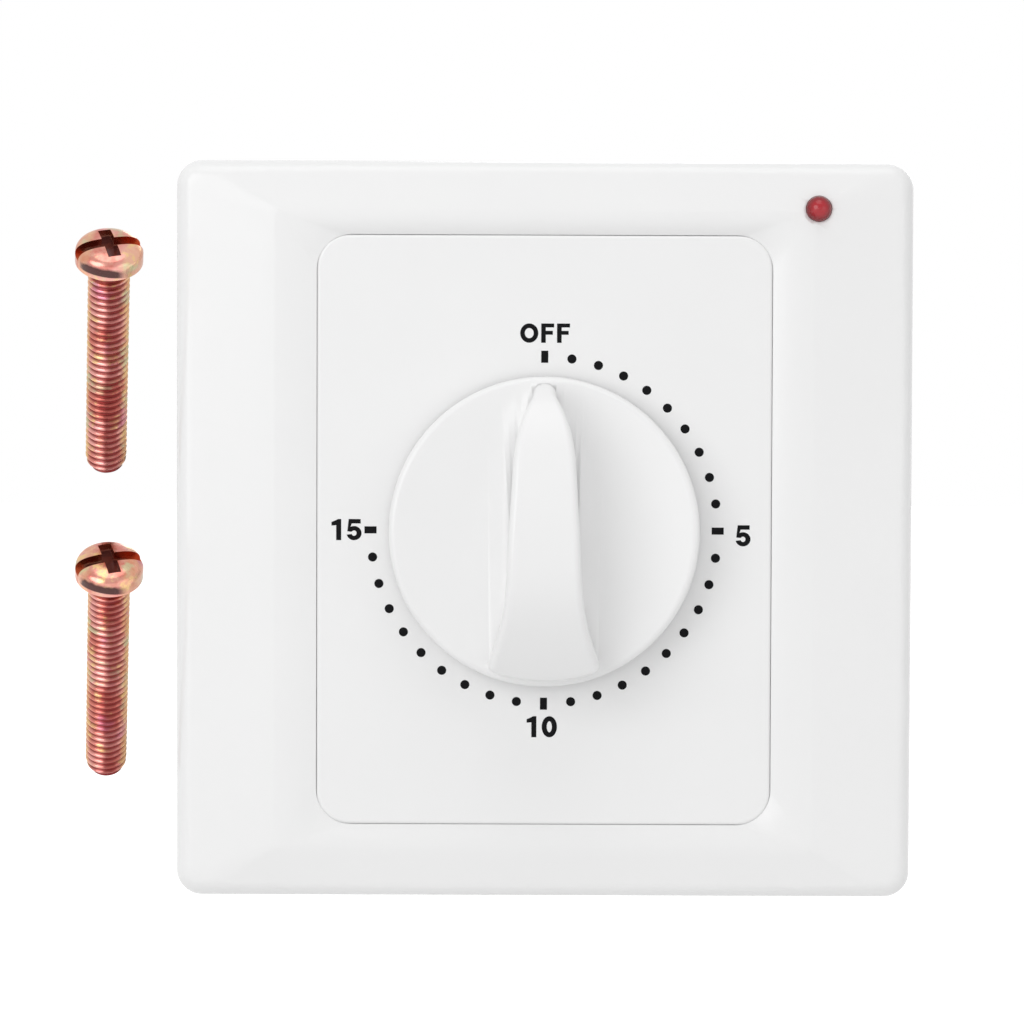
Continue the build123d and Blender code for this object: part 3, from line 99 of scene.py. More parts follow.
class Value:
    """A socket of a node tree that takes part in plain arithmetic."""

    def __init__(self, graph, socket):
        self.graph = graph
        self.socket = socket

    def __add__(self, other):
        return self.graph.maths("ADD", self, other)

    def __radd__(self, other):
        return self.graph.maths("ADD", other, self)

    def __sub__(self, other):
        return self.graph.maths("SUBTRACT", self, other)

    def __rsub__(self, other):
        return self.graph.maths("SUBTRACT", other, self)

    def __mul__(self, other):
        return self.graph.maths("MULTIPLY", self, other)

    def __rmul__(self, other):
        return self.graph.maths("MULTIPLY", other, self)

    def __truediv__(self, other):
        return self.graph.maths("DIVIDE", self, other)

    def __rtruediv__(self, other):
        return self.graph.maths("DIVIDE", other, self)

    def __pow__(self, other):
        return self.graph.maths("POWER", self, other)

    def __mod__(self, other):
        return self.graph.maths("FLOORED_MODULO", self, other)

    def __lt__(self, other):
        return self.graph.maths("LESS_THAN", self, other)

    def __gt__(self, other):
        return self.graph.maths("GREATER_THAN", self, other)

    def __neg__(self):
        return self.graph.maths("MULTIPLY", self, -1.0)

    def __abs__(self):
        return self.graph.maths("ABSOLUTE", self)

    def sin(self):
        return self.graph.maths("SINE", self)

    def cos(self):
        return self.graph.maths("COSINE", self)

    def least(self, other):
        return self.graph.maths("MINIMUM", self, other)

    def most(self, other):
        return self.graph.maths("MAXIMUM", self, other)

    def between(self, low, high):
        """0 below low, 1 above high, smooth in between."""
        node = self.graph.node(
            "ShaderNodeMapRange", {"Value": self, "From Min": low, "From Max": high},
            interpolation_type="SMOOTHSTEP",
        )
        return Value(self.graph, node.outputs["Result"])


class Graph:
    """A node tree that is written as plain code."""

    def __init__(self, tree):
        self.tree = tree

    def node(self, kind, inputs=None, **settings):
        """Adds a node with its properties, and sets or links its inputs by name or number."""
        node = self.tree.nodes.new(kind)
        for name, value in settings.items():
            setattr(node, name, value)
        for name, value in (inputs or {}).items():
            socket = node.inputs[name]
            if isinstance(value, Value):
                self.tree.links.new(value.socket, socket)
            elif isinstance(value, bpy.types.NodeSocket):
                self.tree.links.new(value, socket)
            else:
                socket.default_value = value
        return node

    def maths(self, operation, *operands):
        node = self.node("ShaderNodeMath", dict(enumerate(operands)), operation=operation)
        return Value(self, node.outputs[0])

    def vector(self, x=0.0, y=0.0, z=0.0):
        node = self.node("ShaderNodeCombineXYZ", {"X": x, "Y": y, "Z": z})
        return Value(self, node.outputs[0])

    def split(self, socket):
        node = self.node("ShaderNodeSeparateXYZ", {"Vector": socket})
        return [Value(self, output) for output in node.outputs]

    def seen(self):
        """1 for what the camera sees, directly, mirrored or through glass."""
        path = self.node("ShaderNodeLightPath")
        camera, glossy, through = (
            Value(self, path.outputs[ray])
            for ray in ("Is Camera Ray", "Is Glossy Ray", "Is Transmission Ray")
        )
        return camera.most(glossy).most(through)


class Finish(Graph):
    """A material with one Principled shader, textured by the place in millimetres."""

    def __init__(self, name, **constants):
        self.material = bpy.data.materials.new(name)
        self.material.use_nodes = True
        super().__init__(self.material.node_tree)
        self.tree.nodes.clear()
        self.shader = self.node("ShaderNodeBsdfPrincipled")
        self.output = self.node("ShaderNodeOutputMaterial", {"Surface": self.shader.outputs[0]})
        self.set(**constants)
        coordinates = self.node("ShaderNodeTexCoord")
        scaled = self.node(
            "ShaderNodeVectorMath", {0: coordinates.outputs["Object"], 1: (1 / MM,) * 3},
            operation="MULTIPLY",
        )
        self.place = Value(self, scaled.outputs[0])
        self.x, self.y, self.z = self.split(self.place)

    def set(self, **values):
        """Sets or links the shader's inputs; a name's underscore stands for a space."""
        for name, value in values.items():
            socket = self.shader.inputs[name.replace("_", " ")]
            if isinstance(value, Value):
                self.tree.links.new(value.socket, socket)
            else:
                socket.default_value = value

    def noise(self, size, detail=2.0, roughness=0.5):
        """A noise between 0 and 1 with features of this size in millimetres."""
        node = self.node(
            "ShaderNodeTexNoise",
            {"Vector": self.place, "Scale": 1 / size, "Detail": detail, "Roughness": roughness},
        )
        return Value(self, node.outputs[0])

    def mix(self, share, first, second):
        """The first colour where the share is 0, the second where it is 1."""
        node = self.node("ShaderNodeMix", {0: share, 6: first, 7: second}, data_type="RGBA")
        return Value(self, node.outputs[2])

    def bump(self, height, depth):
        """Tips the surface as if it rose by the height (0 to 1) times the depth in millimetres."""
        node = self.node("ShaderNodeBump", {"Height": height, "Distance": depth * MM})
        self.set(Normal=Value(self, node.outputs[0]))


def shade(grey):
    """An opaque grey."""
    return (grey, grey, grey, 1.0)


def colour(red, green, blue):
    """An opaque colour."""
    return (red, green, blue, 1.0)


def darker(tone, share):
    """The colour at this share of its strength."""
    return tuple(share * part for part in tone[:3]) + (1.0,)


def plastic(name, tone, roughness, spread, grain, depth, **constants):
    """Moulded plastic: two near tones, an uneven gloss and a fine grain."""
    finish = Finish(name, **{"IOR": PLASTIC_IOR, **constants})
    finish.set(
        Base_Color=finish.mix(finish.noise(14.0, 3.0), darker(tone, 0.975), tone),
        Roughness=roughness + spread * finish.noise(2.5, 3.0),
    )
    finish.bump(finish.noise(grain, 2.0), depth)
    return finish


def metal(name, tone, roughness, spread):
    """Worked metal: two near tones, an uneven gloss and fine marks."""
    finish = Finish(name, Metallic=1.0)
    marks = finish.noise(0.5, 4.0, 0.6)
    finish.set(
        Base_Color=finish.mix(finish.noise(5.0, 3.0), darker(tone, 0.85), tone),
        Roughness=roughness + spread * marks,
    )
    finish.bump(marks, 0.004)
    return finish


def screw_direction(settings):
    """The way a loose screw points, from its tip to its head."""
    raked = math.cos(settings.rake)
    return Vector((
        math.sin(settings.lean) * raked, -math.sin(settings.rake), math.cos(settings.lean) * raked
    ))


def screw_places(finish, settings):
    """Where a point lies on its own loose screw, in millimetres.

    Gives the length from the tip, the distance from the axis, the part of the shank's radius to
    the side, and 1 inside the crossed slots of the head.
    """
    up = screw_direction(settings)
    first, second = (Vector(tip) / MM for tip in (settings.first_tip, settings.second_tip))
    head_top = (settings.length + settings.head_height) / MM
    between_screws = (first.z + second.z + head_top * up.z) / 2
    upper = finish.z > between_screws
    across = finish.x - second.x - (first.x - second.x) * upper
    out = finish.y - second.y - (first.y - second.y) * upper
    height = finish.z - second.z - (first.z - second.z) * upper
    along = across * up.x + out * up.y + height * up.z
    from_tip = across ** 2.0 + out ** 2.0 + height ** 2.0
    reach = (from_tip - along ** 2.0).most(0.0) ** 0.5
    way = Vector((up.z, 0, -up.x)).normalized()
    side = (across * way.x + height * way.z) / (settings.radius / MM)
    turned = Matrix.Rotation(settings.recess_turn, 3, up)
    down_slot, over_slot = (
        abs(across * line.x + out * line.y + height * line.z)
        for line in (turned @ way, turned @ up.cross(way))
    )
    slot = settings.recess / MM / 2 + SLOT_EDGE
    bar = SLOT_BAR * settings.head_radius / MM
    crossed = (over_slot < slot).most((down_slot < slot) * (over_slot < bar))
    return along, reach, side, crossed


def yellow_zinc(settings, tones):
    """Passivated zinc: copper pink with gold, green and violet patches, painted shade in the roots
    and recess, and painted reflections and sheen.
    """
    finish = Finish("yellow_zinc")
    along, reach, side, crossed = screw_places(finish, settings)
    length, radius, depth = settings.length / MM, settings.radius / MM, settings.depth / MM
    on_head = along > length
    # Painted shade inside the crossed recess of the head
    recess = on_head * crossed
    # Painted shade in the roots of the thread
    root = 1.0 - reach.between(radius - 0.95 * depth, radius - 0.15 * depth)
    root = root * (along < length)
    drift, patches = finish.noise(4.2, 3.0, 0.55), finish.noise(1.7, 4.0, 0.6)
    fleck = finish.noise(0.8, 3.0, 0.6)

    # Painted reflection of a studio: a dark streak down the shank and a dark band round the head
    painted_streak = (side + 1.1 * (drift - 0.5)).between(-0.25, 0.15)
    painted_streak = painted_streak * (1.0 - (side + 0.6 * fleck).between(0.8, 1.2)) * (1.0 - on_head)
    rim_height = along - length + 0.2 * side ** 2.0 + 0.2 * side
    painted_rim = rim_height.between(0.45, 0.7) * (1.0 - (rim_height + 0.4 * fleck).between(1.4, 2.0))
    painted_band_side = (side + 0.6 * (patches - 0.5)).between(-1.4, -0.9) * (1.0 - side.between(0.2, 1.2))
    painted_band = (1.6 * painted_rim * painted_band_side).least(1.0)

    # Painted highlight: gold sheen along both sides of each screw as seen from the front, less on
    # the head
    painted_edge_sheen = (abs(side) + 0.5 * fleck).between(0.95, 1.2) * (0.6 - 0.35 * on_head)
    tone = finish.mix(drift.between(0.4, 0.6), tones.screw_pink[:], tones.screw_copper[:])
    for share, cover in (
        (on_head * patches.between(0.35, 0.6) * 0.45, tones.screw_pale[:]),
        (patches.between(0.54, 0.66) * 0.75, tones.screw_gold[:]),
        (painted_edge_sheen, tones.screw_gold[:]),
        (finish.noise(2.6, 3.0).between(0.55, 0.68) * 0.65, tones.screw_green[:]),
        (finish.noise(3.1, 3.0).between(0.56, 0.7) * 0.65, tones.screw_violet[:]),
        # Painted from here on: dark reflections on streak and band, shade in the recess and roots
        (painted_streak * 0.7, tones.screw_shade[:]),
        (recess * 0.7, tones.screw_recess_shade[:]),
        (root * 0.9, tones.screw_shade[:]),
        (painted_band * 0.95, darker(tones.screw_shade[:], 0.3)),
    ):
        tone = finish.mix(share, tone, cover)
    # The painted band is also less metallic, so that it stays dark
    finish.set(
        Base_Color=tone, Metallic=1.0 - 0.7 * painted_band,
        Roughness=0.14 + 0.12 * patches + 0.15 * root,
    )
    finish.bump(finish.noise(0.5, 3.0), 0.008)
    return finish


def lamp_red(tone):
    """Clear red plastic with a faint glow, and painted shade towards its rim."""
    finish = Finish("red_lamp", IOR=1.42, Coat_Roughness=0.03, Emission_Strength=0.06)
    low, high = (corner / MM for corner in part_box("indicator_led"))
    across, up = finish.x - (low.x + high.x) / 2, finish.z - (low.z + high.z) / 2
    # Painted shade: the dome's colour darkens towards its rim
    painted_rim = ((across ** 2.0 + up ** 2.0) ** 0.5).between(0.6, 1.5)
    finish.set(
        Base_Color=finish.mix(painted_rim, tone, darker(tone, 0.4)), Emission_Color=tone,
        Roughness=0.1 + 0.08 * finish.noise(1.2, 2.0), Coat_Weight=0.35 - 0.3 * painted_rim,
    )
    return finish


def banded(name, body, bands, roughness):
    """A lacquered body with rings at the given heights."""
    finish = Finish(name, IOR=PLASTIC_IOR)
    tone = finish.mix(finish.noise(1.0, 2.0), body, darker(body, 0.85))
    for height, half, ring in bands:
        tone = finish.mix(abs(finish.z - height) < half, tone, ring)
    finish.set(Base_Color=tone, Roughness=roughness + 0.1 * finish.noise(0.6, 2.0))
    return finish


def record_finishes(tones, screws):
    """One material for each slot of the record."""
    white = tones.white[:]
    low, high = (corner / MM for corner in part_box("dropper_resistor"))
    middle, length = (low.z + high.z) / 2, high.z - low.z
    resistor_rings = [
        (middle + 0.26 * length, 0.35, colour(0.55, 0.2, 0.02)),
        (middle + 0.15 * length, 0.3, shade(0.01)),
        (middle + 0.04 * length, 0.3, colour(0.6, 0.32, 0.02)),
        (middle - 0.24 * length, 0.3, colour(0.6, 0.42, 0.12)),
    ]
    low, high = (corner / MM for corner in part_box("rectifier_diode"))
    diode_ring = [((low.z + high.z) / 2 + 0.2 * (high.z - low.z), 0.35, shade(0.6))]
    return {
        "white_frame": plastic("white_frame", white, 0.2, 0.08, 0.9, 0.0015),
        "white_panel": plastic("white_panel", white, 0.32, 0.08, 0.5, 0.0015),
        "white_knob": plastic("white_knob", white, 0.26, 0.08, 1.4, 0.0015),
        "grey_base": plastic("grey_base", shade(0.58), 0.45, 0.12, 0.3, 0.006),
        "black_housing": plastic("black_housing", shade(0.02), 0.42, 0.16, 0.35, 0.012),
        "red_lamp": lamp_red(tones.lamp[:]),
        "yellow_zinc": yellow_zinc(screws, tones),
        "steel": metal("steel", shade(0.6), 0.26, 0.16),
        "spring_steel": metal("spring_steel", colour(0.2, 0.21, 0.26), 0.24, 0.14),
        "brass": metal("brass", colour(0.72, 0.52, 0.2), 0.24, 0.18),
        "copper_strip": metal("copper_strip", colour(0.76, 0.42, 0.22), 0.26, 0.14),
        "silver": metal("silver", shade(0.8), 0.2, 0.14),
        "tinned_wire": metal("tinned_wire", shade(0.66), 0.28, 0.14),
        "board": plastic("board", colour(0.36, 0.21, 0.07), 0.42, 0.1, 0.4, 0.004),
        "resistor_body": banded("resistor_body", colour(0.5, 0.38, 0.22), resistor_rings, 0.26),
        "diode_body": banded("diode_body", shade(0.015), diode_ring, 0.3),
        "wire_insulation": plastic(
            "wire_insulation", colour(0.38, 0.018, 0.014), 0.3, 0.1, 0.6, 0.004
        ),
    }


def ink(tone):
    """Matt printing ink."""
    return plastic("scale_ink", tone, 0.5, 0.1, 0.3, 0.001, IOR=1.45, Specular_IOR_Level=0.1)


def wear(thing, material):
    """Gives one material to a whole object."""
    thing.data.materials.clear()
    thing.data.materials.append(material)


def link_mesh(name, mesh):
    """A new object of the scene with this mesh."""
    thing = bpy.data.objects.new(name, mesh)
    bpy.context.scene.collection.objects.link(thing)
    return thing


def evaluated_mesh(thing, name):
    """The object's mesh with its modifiers applied, as plain data."""
    graph = bpy.context.evaluated_depsgraph_get()
    mesh = bpy.data.meshes.new_from_object(thing.evaluated_get(graph))
    mesh.name = name
    return mesh


def smooth_faces(mesh, degrees):
    """Shades a mesh smoothly, but for the edges that are sharper than this angle."""
    mesh.polygons.foreach_set("use_smooth", [True] * len(mesh.polygons))
    mesh.set_sharp_from_angle(angle=math.radians(degrees))


def tighten(grid, settings):
    """Draws the frame's opening and lamp hole closer round the panel and the lamp."""
    low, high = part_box("dial_panel")
    middle, half = (low + high) / 2, (high - low) / 2
    lamp = sum(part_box("indicator_led"), Vector((0, 0, 0))) / 2
    for vert in grid.verts:
        across, up = vert.co.x - middle.x, vert.co.z - middle.z
        if abs(across) < half.x + OPENING_REACH and abs(up) < half.z + OPENING_REACH:
            vert.co.x -= settings.panel_joint * across / half.x
            vert.co.z -= settings.panel_joint * up / half.z
        away = Vector((vert.co.x - lamp.x, 0, vert.co.z - lamp.z))
        if away.length < LAMP_REACH:
            vert.co -= away.normalized() * settings.lamp_joint


def smoothed(node, angle, slot, finishes, settings):
    """Replaces a fixed node by a copy with merged facets and smoothly shaded curves."""
    source = frame["nodes"][node]
    mesh = source.data.copy()
    grid = bmesh.new()
    grid.from_mesh(mesh)
    bmesh.ops.remove_doubles(grid, verts=grid.verts, dist=WELD)
    if node == "front_frame":
        tighten(grid, settings)
    grid.to_mesh(mesh)
    grid.free()
    smooth_faces(mesh, angle)
    draft = link_mesh(node + "_draft", mesh)
    weighting = draft.modifiers.new("even_normals", "WEIGHTED_NORMAL")
    weighting.keep_sharp = True
    weighting.mode = "FACE_AREA_WITH_ANGLE"
    piece = link_mesh(node + "_smooth", evaluated_mesh(draft, node + "_smooth"))
    bpy.data.objects.remove(draft)
    wear(piece, finishes[slot])
    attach(piece, source["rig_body"])
    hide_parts(node)


class Grown(Graph):
    """A geometry node group with named inputs, whose result becomes a plain mesh."""

    def __init__(self, name):
        super().__init__(bpy.data.node_groups.new(name, "GeometryNodeTree"))
        self.name = name
        self.values = {}
        for way in ("INPUT", "OUTPUT"):
            self.tree.interface.new_socket("Geometry", in_out=way, socket_type="NodeSocketGeometry")
        self.entry = self.node("NodeGroupInput")

    def input(self, name, value, kind="Float"):
        """Adds a named input of the group with the value that the modifier gives it."""
        socket = self.tree.interface.new_socket(
            name, in_out="INPUT", socket_type="NodeSocket" + kind
        )
        self.values[socket.identifier] = value
        return Value(self, self.entry.outputs[name])

    def join(self, *parts):
        """The geometry of all the parts, in their order."""
        node = self.node("GeometryNodeJoinGeometry")
        for part in reversed(parts):
            self.tree.links.new(part, node.inputs[0])
        return node.outputs[0]

    def finish(self, geometry, material):
        """Realizes the geometry, sets its material and returns the new object."""
        slot = self.input("Material", material, "Material")
        realized = self.node("GeometryNodeRealizeInstances", {0: geometry})
        coated = self.node(
            "GeometryNodeSetMaterial", {"Geometry": realized.outputs[0], "Material": slot}
        )
        self.node("NodeGroupOutput", {0: coated.outputs[0]})
        draft = link_mesh(self.name + "_draft", bpy.data.meshes.new(self.name + "_draft"))
        modifier = draft.modifiers.new(self.name, "NODES")
        modifier.node_group = self.tree
        for identifier, value in self.values.items():
            modifier[identifier] = value
        draft.update_tag()
        bpy.context.view_layer.update()
        mesh = evaluated_mesh(draft, self.name)
        bpy.data.objects.remove(draft)
        if not mesh.polygons:
            raise RuntimeError(f"{self.name} has no faces")
        return link_mesh(self.name, mesh)


def tone_setting(name, description, red, green, blue):
    """A colour among the settings."""
    return bpy.props.FloatVectorProperty(
        name=name, description=description, subtype="COLOR", size=4, min=0.0, max=1.0,
        default=(red, green, blue, 1.0),
    )


class FinishSettings(bpy.types.PropertyGroup):
    """Colours of the pieces that show, and the joints in the frame."""

    panel_joint: bpy.props.FloatProperty(
        name="Panel Joint", description="How much finer the joint around the panel is drawn",
        default=0.24 * MM, subtype="DISTANCE", unit="LENGTH",
    )
    lamp_joint: bpy.props.FloatProperty(
        name="Lamp Joint", description="How much finer the joint around the lamp is drawn",
        default=0.09 * MM, subtype="DISTANCE", unit="LENGTH",
    )
    white: tone_setting("White", "Plastic of the frame, panel and knob", 0.9, 0.9, 0.9)
    lamp: tone_setting("Lamp", "Body of the indicator lamp", 0.4, 0.003, 0.012)
    ink: tone_setting("Ink", "Printed scale", 0.005, 0.005, 0.006)
    screw_copper: tone_setting("Screw Copper", "Plating of the loose screws", 0.6, 0.19, 0.15)
    screw_pink: tone_setting("Screw Pink", "Pale parts of the plating", 0.76, 0.35, 0.31)
    screw_pale: tone_setting("Screw Pale", "Worn parts of the head", 0.74, 0.47, 0.37)
    screw_gold: tone_setting("Screw Gold", "Gold patches", 0.8, 0.55, 0.24)
    screw_green: tone_setting("Screw Green", "Green patches", 0.5, 0.56, 0.34)
    screw_violet: tone_setting("Screw Violet", "Violet patches", 0.6, 0.2, 0.32)
    # Painted shade inside the recess
    screw_recess_shade: tone_setting("Screw Recess", "Recess in the head", 0.52, 0.13, 0.06)
    # Painted shade of the thread roots, also used for the painted streak and band
    screw_shade: tone_setting("Screw Root", "Roots of the thread", 0.17, 0.02, 0.02)


class PrintSettings(bpy.types.PropertyGroup):
    """Sizes of the printed scale."""

    ring_radius: bpy.props.FloatProperty(
        name="Ring Radius", description="Radius of the ring of marks", default=20.2 * MM,
        subtype="DISTANCE", unit="LENGTH",
    )
    step: bpy.props.FloatProperty(
        name="Step", description="Angle between two marks", default=math.radians(9),
        subtype="ANGLE", unit="ROTATION",
    )
    count: bpy.props.IntProperty(name="Marks", description="Number of marks", default=31)
    major: bpy.props.IntProperty(
        name="Bar Every", description="A bar at every so many marks", default=10
    )
    dot_radius: bpy.props.FloatProperty(
        name="Dot Radius", description="Radius of a dot", default=0.53 * MM,
        subtype="DISTANCE", unit="LENGTH",
    )
    bar_width: bpy.props.FloatProperty(
        name="Bar Width", description="Width of a bar", default=0.82 * MM,
        subtype="DISTANCE", unit="LENGTH",
    )
    bar_length: bpy.props.FloatProperty(
        name="Bar Length", description="Length of a bar", default=1.4 * MM,
        subtype="DISTANCE", unit="LENGTH",
    )
    thickness: bpy.props.FloatProperty(
        name="Thickness", description="Thickness of the ink", default=0.02 * MM,
        subtype="DISTANCE", unit="LENGTH",
    )


class ScrewSettings(bpy.types.PropertyGroup):
    """Sizes of the two loose screws."""

    length: bpy.props.FloatProperty(
        name="Length", description="From the tip to the head", default=30 * MM,
        subtype="DISTANCE", unit="LENGTH",
    )
    radius: bpy.props.FloatProperty(
        name="Radius", description="Outer radius of the thread", default=2.4 * MM,
        subtype="DISTANCE", unit="LENGTH",
    )
    pitch: bpy.props.FloatProperty(
        name="Pitch", description="Pitch of the thread", default=0.87 * MM,
        subtype="DISTANCE", unit="LENGTH",
    )
    depth: bpy.props.FloatProperty(
        name="Depth", description="Depth of the thread", default=0.4 * MM,
        subtype="DISTANCE", unit="LENGTH",
    )
    head_radius: bpy.props.FloatProperty(
        name="Head Radius", description="Radius of the head", default=3.86 * MM,
        subtype="DISTANCE", unit="LENGTH",
    )
    head_height: bpy.props.FloatProperty(
        name="Head Height", description="Height of the head", default=2.7 * MM,
        subtype="DISTANCE", unit="LENGTH",
    )
    head_side: bpy.props.FloatProperty(
        name="Head Side", description="Upright part of the head", default=1.2 * MM,
        subtype="DISTANCE", unit="LENGTH",
    )
    recess: bpy.props.FloatProperty(
        name="Recess", description="Width of the recess", default=1.45 * MM,
        subtype="DISTANCE", unit="LENGTH",
    )
    recess_depth: bpy.props.FloatProperty(
        name="Recess Depth", description="Depth of the recess", default=1.6 * MM,
        subtype="DISTANCE", unit="LENGTH",
    )
    rake: bpy.props.FloatProperty(
        name="Rake", description="Tilt towards the viewer", default=math.radians(38),
        subtype="ANGLE", unit="ROTATION",
    )
    lean: bpy.props.FloatProperty(
        name="Lean", description="Lean to the side", default=math.radians(5.4),
        subtype="ANGLE", unit="ROTATION",
    )
    recess_turn: bpy.props.FloatProperty(
        name="Recess Turn", description="Turn of the slot", default=math.radians(22),
        subtype="ANGLE", unit="ROTATION",
    )
    first_tip: bpy.props.FloatVectorProperty(
        name="First Tip", description="Tip of the upper screw",
        default=(-51.7 * MM, -2 * MM, 7.3 * MM),
        subtype="TRANSLATION", unit="LENGTH",
    )
    second_tip: bpy.props.FloatVectorProperty(
        name="Second Tip", description="Tip of the lower screw",
        default=(-51.7 * MM, -2 * MM, -28.4 * MM),
        subtype="TRANSLATION", unit="LENGTH",
    )


class StageSettings(bpy.types.PropertyGroup):
    """Camera and lights."""

    distance: bpy.props.FloatProperty(
        name="Camera Distance", description="From the plate's front", default=0.5,
        subtype="DISTANCE", unit="LENGTH",
    )
    elevation: bpy.props.FloatProperty(
        name="Elevation", description="Camera above the plate's normal",
        default=math.radians(2.104),
        subtype="ANGLE", unit="ROTATION",
    )
    azimuth: bpy.props.FloatProperty(
        name="Azimuth", description="Camera to the right of the normal",
        default=math.radians(-0.104),
        subtype="ANGLE", unit="ROTATION",
    )
    roll: bpy.props.FloatProperty(
        name="Roll", description="Turn of the picture", default=math.radians(0.213),
        subtype="ANGLE", unit="ROTATION",
    )
    lens: bpy.props.FloatProperty(
        name="Lens", description="Focal length in millimetres", default=151.02
    )
    shift: bpy.props.FloatVectorProperty(
        name="Shift", description="Shift of the picture, of its width", size=2,
        default=(-0.03135, 0.018),
    )
    world: bpy.props.FloatProperty(
        name="Room Light", description="Strength of the even light", default=0.672
    )
    floor: bpy.props.FloatProperty(
        name="Floor", description="Height of the floor", default=-0.09,
        subtype="DISTANCE", unit="LENGTH",
    )


class SwitchOperator:
    """What the operators share."""

    bl_options = {"REGISTER", "UNDO"}

    @classmethod
    def poll(cls, context):
        return context.scene is not None


class TIMER_OT_finishes(SwitchOperator, bpy.types.Operator):
    """Gives every node of the fixed model its material, and smooth shading to the outer ones"""

    bl_idname = "timer.finishes"
    bl_label = "Apply Finishes"

    def execute(self, context):
        made = record_finishes(context.scene.timer_finish, context.scene.timer_screws)
        finishes = {slot: finish.material for slot, finish in made.items()}
        slots = {entry["node"]: entry["material_slot"] for entry in frame["record"]["subparts"]}
        for node, thing in frame["nodes"].items():
            wear(thing, finishes[slots[node]])
        for node, angle in SMOOTHED.items():
            smoothed(node, angle, slots[node], finishes, context.scene.timer_finish)
        return {"FINISHED"}


def scale_marks(settings, level):
    """Bars and dots on a ring around the knob."""
    marks = Grown("scale_marks")
    radius = marks.input("Ring Radius", settings.ring_radius)
    step = marks.input("Step", settings.step)
    count = marks.input("Count", settings.count, "Int")
    major = marks.input("Major", settings.major, "Int")
    dot_radius = marks.input("Dot Radius", settings.dot_radius)
    bar_width = marks.input("Bar Width", settings.bar_width)
    bar_length = marks.input("Bar Length", settings.bar_length)
    thickness = marks.input("Thickness", settings.thickness)
    height = marks.input("Level", level)
    index = Value(marks, marks.node("GeometryNodeInputIndex").outputs[0])
    angle = index * step
    place = marks.vector(radius * angle.sin(), -height, radius * angle.cos())
    points = marks.node("GeometryNodePoints", {"Count": count, "Position": place})
    turn = marks.vector(math.pi / 2, angle, 0.0)
    is_bar = index % major < 0.5
    circle = marks.node(
        "GeometryNodeCurvePrimitiveCircle", {"Resolution": 32, "Radius": dot_radius}
    )
    oblong = marks.node(
        "GeometryNodeCurvePrimitiveQuadrilateral", {"Width": bar_width, "Height": bar_length}
    )
    shapes = []
    for outline, chosen in ((circle, 1.0 - is_bar), (oblong, is_bar)):
        flat = marks.node("GeometryNodeFillCurve", {"Curve": outline.outputs[0]}, mode="NGONS")
        solid = marks.node(
            "GeometryNodeExtrudeMesh", {"Mesh": flat.outputs[0], "Offset Scale": thickness}
        )
        copies = marks.node(
            "GeometryNodeInstanceOnPoints",
            {"Points": points.outputs[0], "Selection": chosen,
             "Instance": solid.outputs[0], "Rotation": turn},
        )
        shapes.append(copies.outputs[0])
    return marks, marks.join(*shapes)


def ellipse(centre, radii, first, last, steps):
    """Points on an ellipse between two directions in degrees."""
    turns = [math.radians(first + (last - first) * step / steps) for step in range(steps + 1)]
    return [
        (centre[0] + radii[0] * math.cos(turn), centre[1] + radii[1] * math.sin(turn))
        for turn in turns
    ]


def band(points, width, closed=False):
    """The four-sided faces of a flat band of even width along a line of points."""
    rows = []
    for number, point in enumerate(points):
        here = Vector(point)
        ways = []
        if closed or number:
            ways.append((here - Vector(points[number - 1])).normalized())
        if closed or number < len(points) - 1:
            ways.append((Vector(points[(number + 1) % len(points)]) - here).normalized())
        way = sum(ways, Vector((0, 0))).normalized()
        side = Vector((-way.y, way.x)) * (width / 2 / max(way.dot(ways[0]), 0.5))
        rows.append((here + side, here - side))
    if closed:
        rows.append(rows[0])
    return [(first[1], second[1], second[0], first[0]) for first, second in zip(rows, rows[1:])]


def letter_o(width, height, weight):
    """The faces of an O or a 0."""
    radii = ((width - weight) / 2, (height - weight) / 2)
    return band(ellipse((width / 2, height / 2), radii, 0, 360, 48)[:-1], weight, closed=True)


def letter_f(width, height, weight):
    """The one face of an F."""
    bar = 0.85 * weight
    arm_low, arm_high = 0.42 * height, 0.42 * height + bar
    return [[
        (0, 0), (weight, 0), (weight, arm_low), (0.9 * width, arm_low),
        (0.9 * width, arm_high), (weight, arm_high), (weight, height - bar),
        (width, height - bar), (width, height), (0, height),
    ]]


def digit_1(width, height, weight):
    """The one face of a 1 with a flag."""
    stem = width - weight
    return [[
        (stem, 0), (width, 0), (width, height), (stem + 0.4 * weight, height),
        (0.6 * stem, 0.91 * height), (0, 0.86 * height), (0, 0.69 * height), (stem, 0.71 * height),
    ]]


def digit_5(width, height, weight):
    """The one face of a 5: its bowl outside, its flag, and its bowl inside."""
    centre, bar = (0.5 * width, 0.335 * height), 0.88 * weight
    outside = ellipse(centre, centre, -168, 118, 28)
    inside = ellipse(centre, (centre[0] - weight, centre[1] - bar), 140, -160, 24)
    return [outside + [
        (0.34 * width, height - bar), (0.94 * width, height - bar), (0.94 * width, height),
        (0.14 * width, height), (0.05 * width, 0.42 * height), (0.31 * width, 0.4 * height),
    ] + inside]


# Each word with its centre, height, weight and gap in millimetres
SCALE_WORDS = (
    ("OFF", (0.03, 22.94), 2.24, 0.53, 0.34), ("5", (23.15, -0.54), 2.46, 0.58, 0.63),
    ("10", (-0.19, -22.89), 2.46, 0.58, 0.63), ("15", (-22.99, 0.02), 2.46, 0.58, 0.63),
)
# Each sign with its drawing and its width
GLYPHS = {
    "O": (letter_o, 2.1), "F": (letter_f, 1.5),
    "1": (digit_1, 1.13), "0": (letter_o, 1.77), "5": (digit_5, 1.74),
}


def word_faces(word, centre, height, weight, gap):
    """The flat faces of a word or number around its centre, in millimetres."""
    left = centre[0] - (sum(GLYPHS[sign][1] for sign in word) + gap * (len(word) - 1)) / 2
    faces = []
    for sign in word:
        glyph, width = GLYPHS[sign]
        for face in glyph(width, height, weight):
            faces.append([(left + x, centre[1] - height / 2 + z) for x, z in face])
        left += width + gap
    return faces


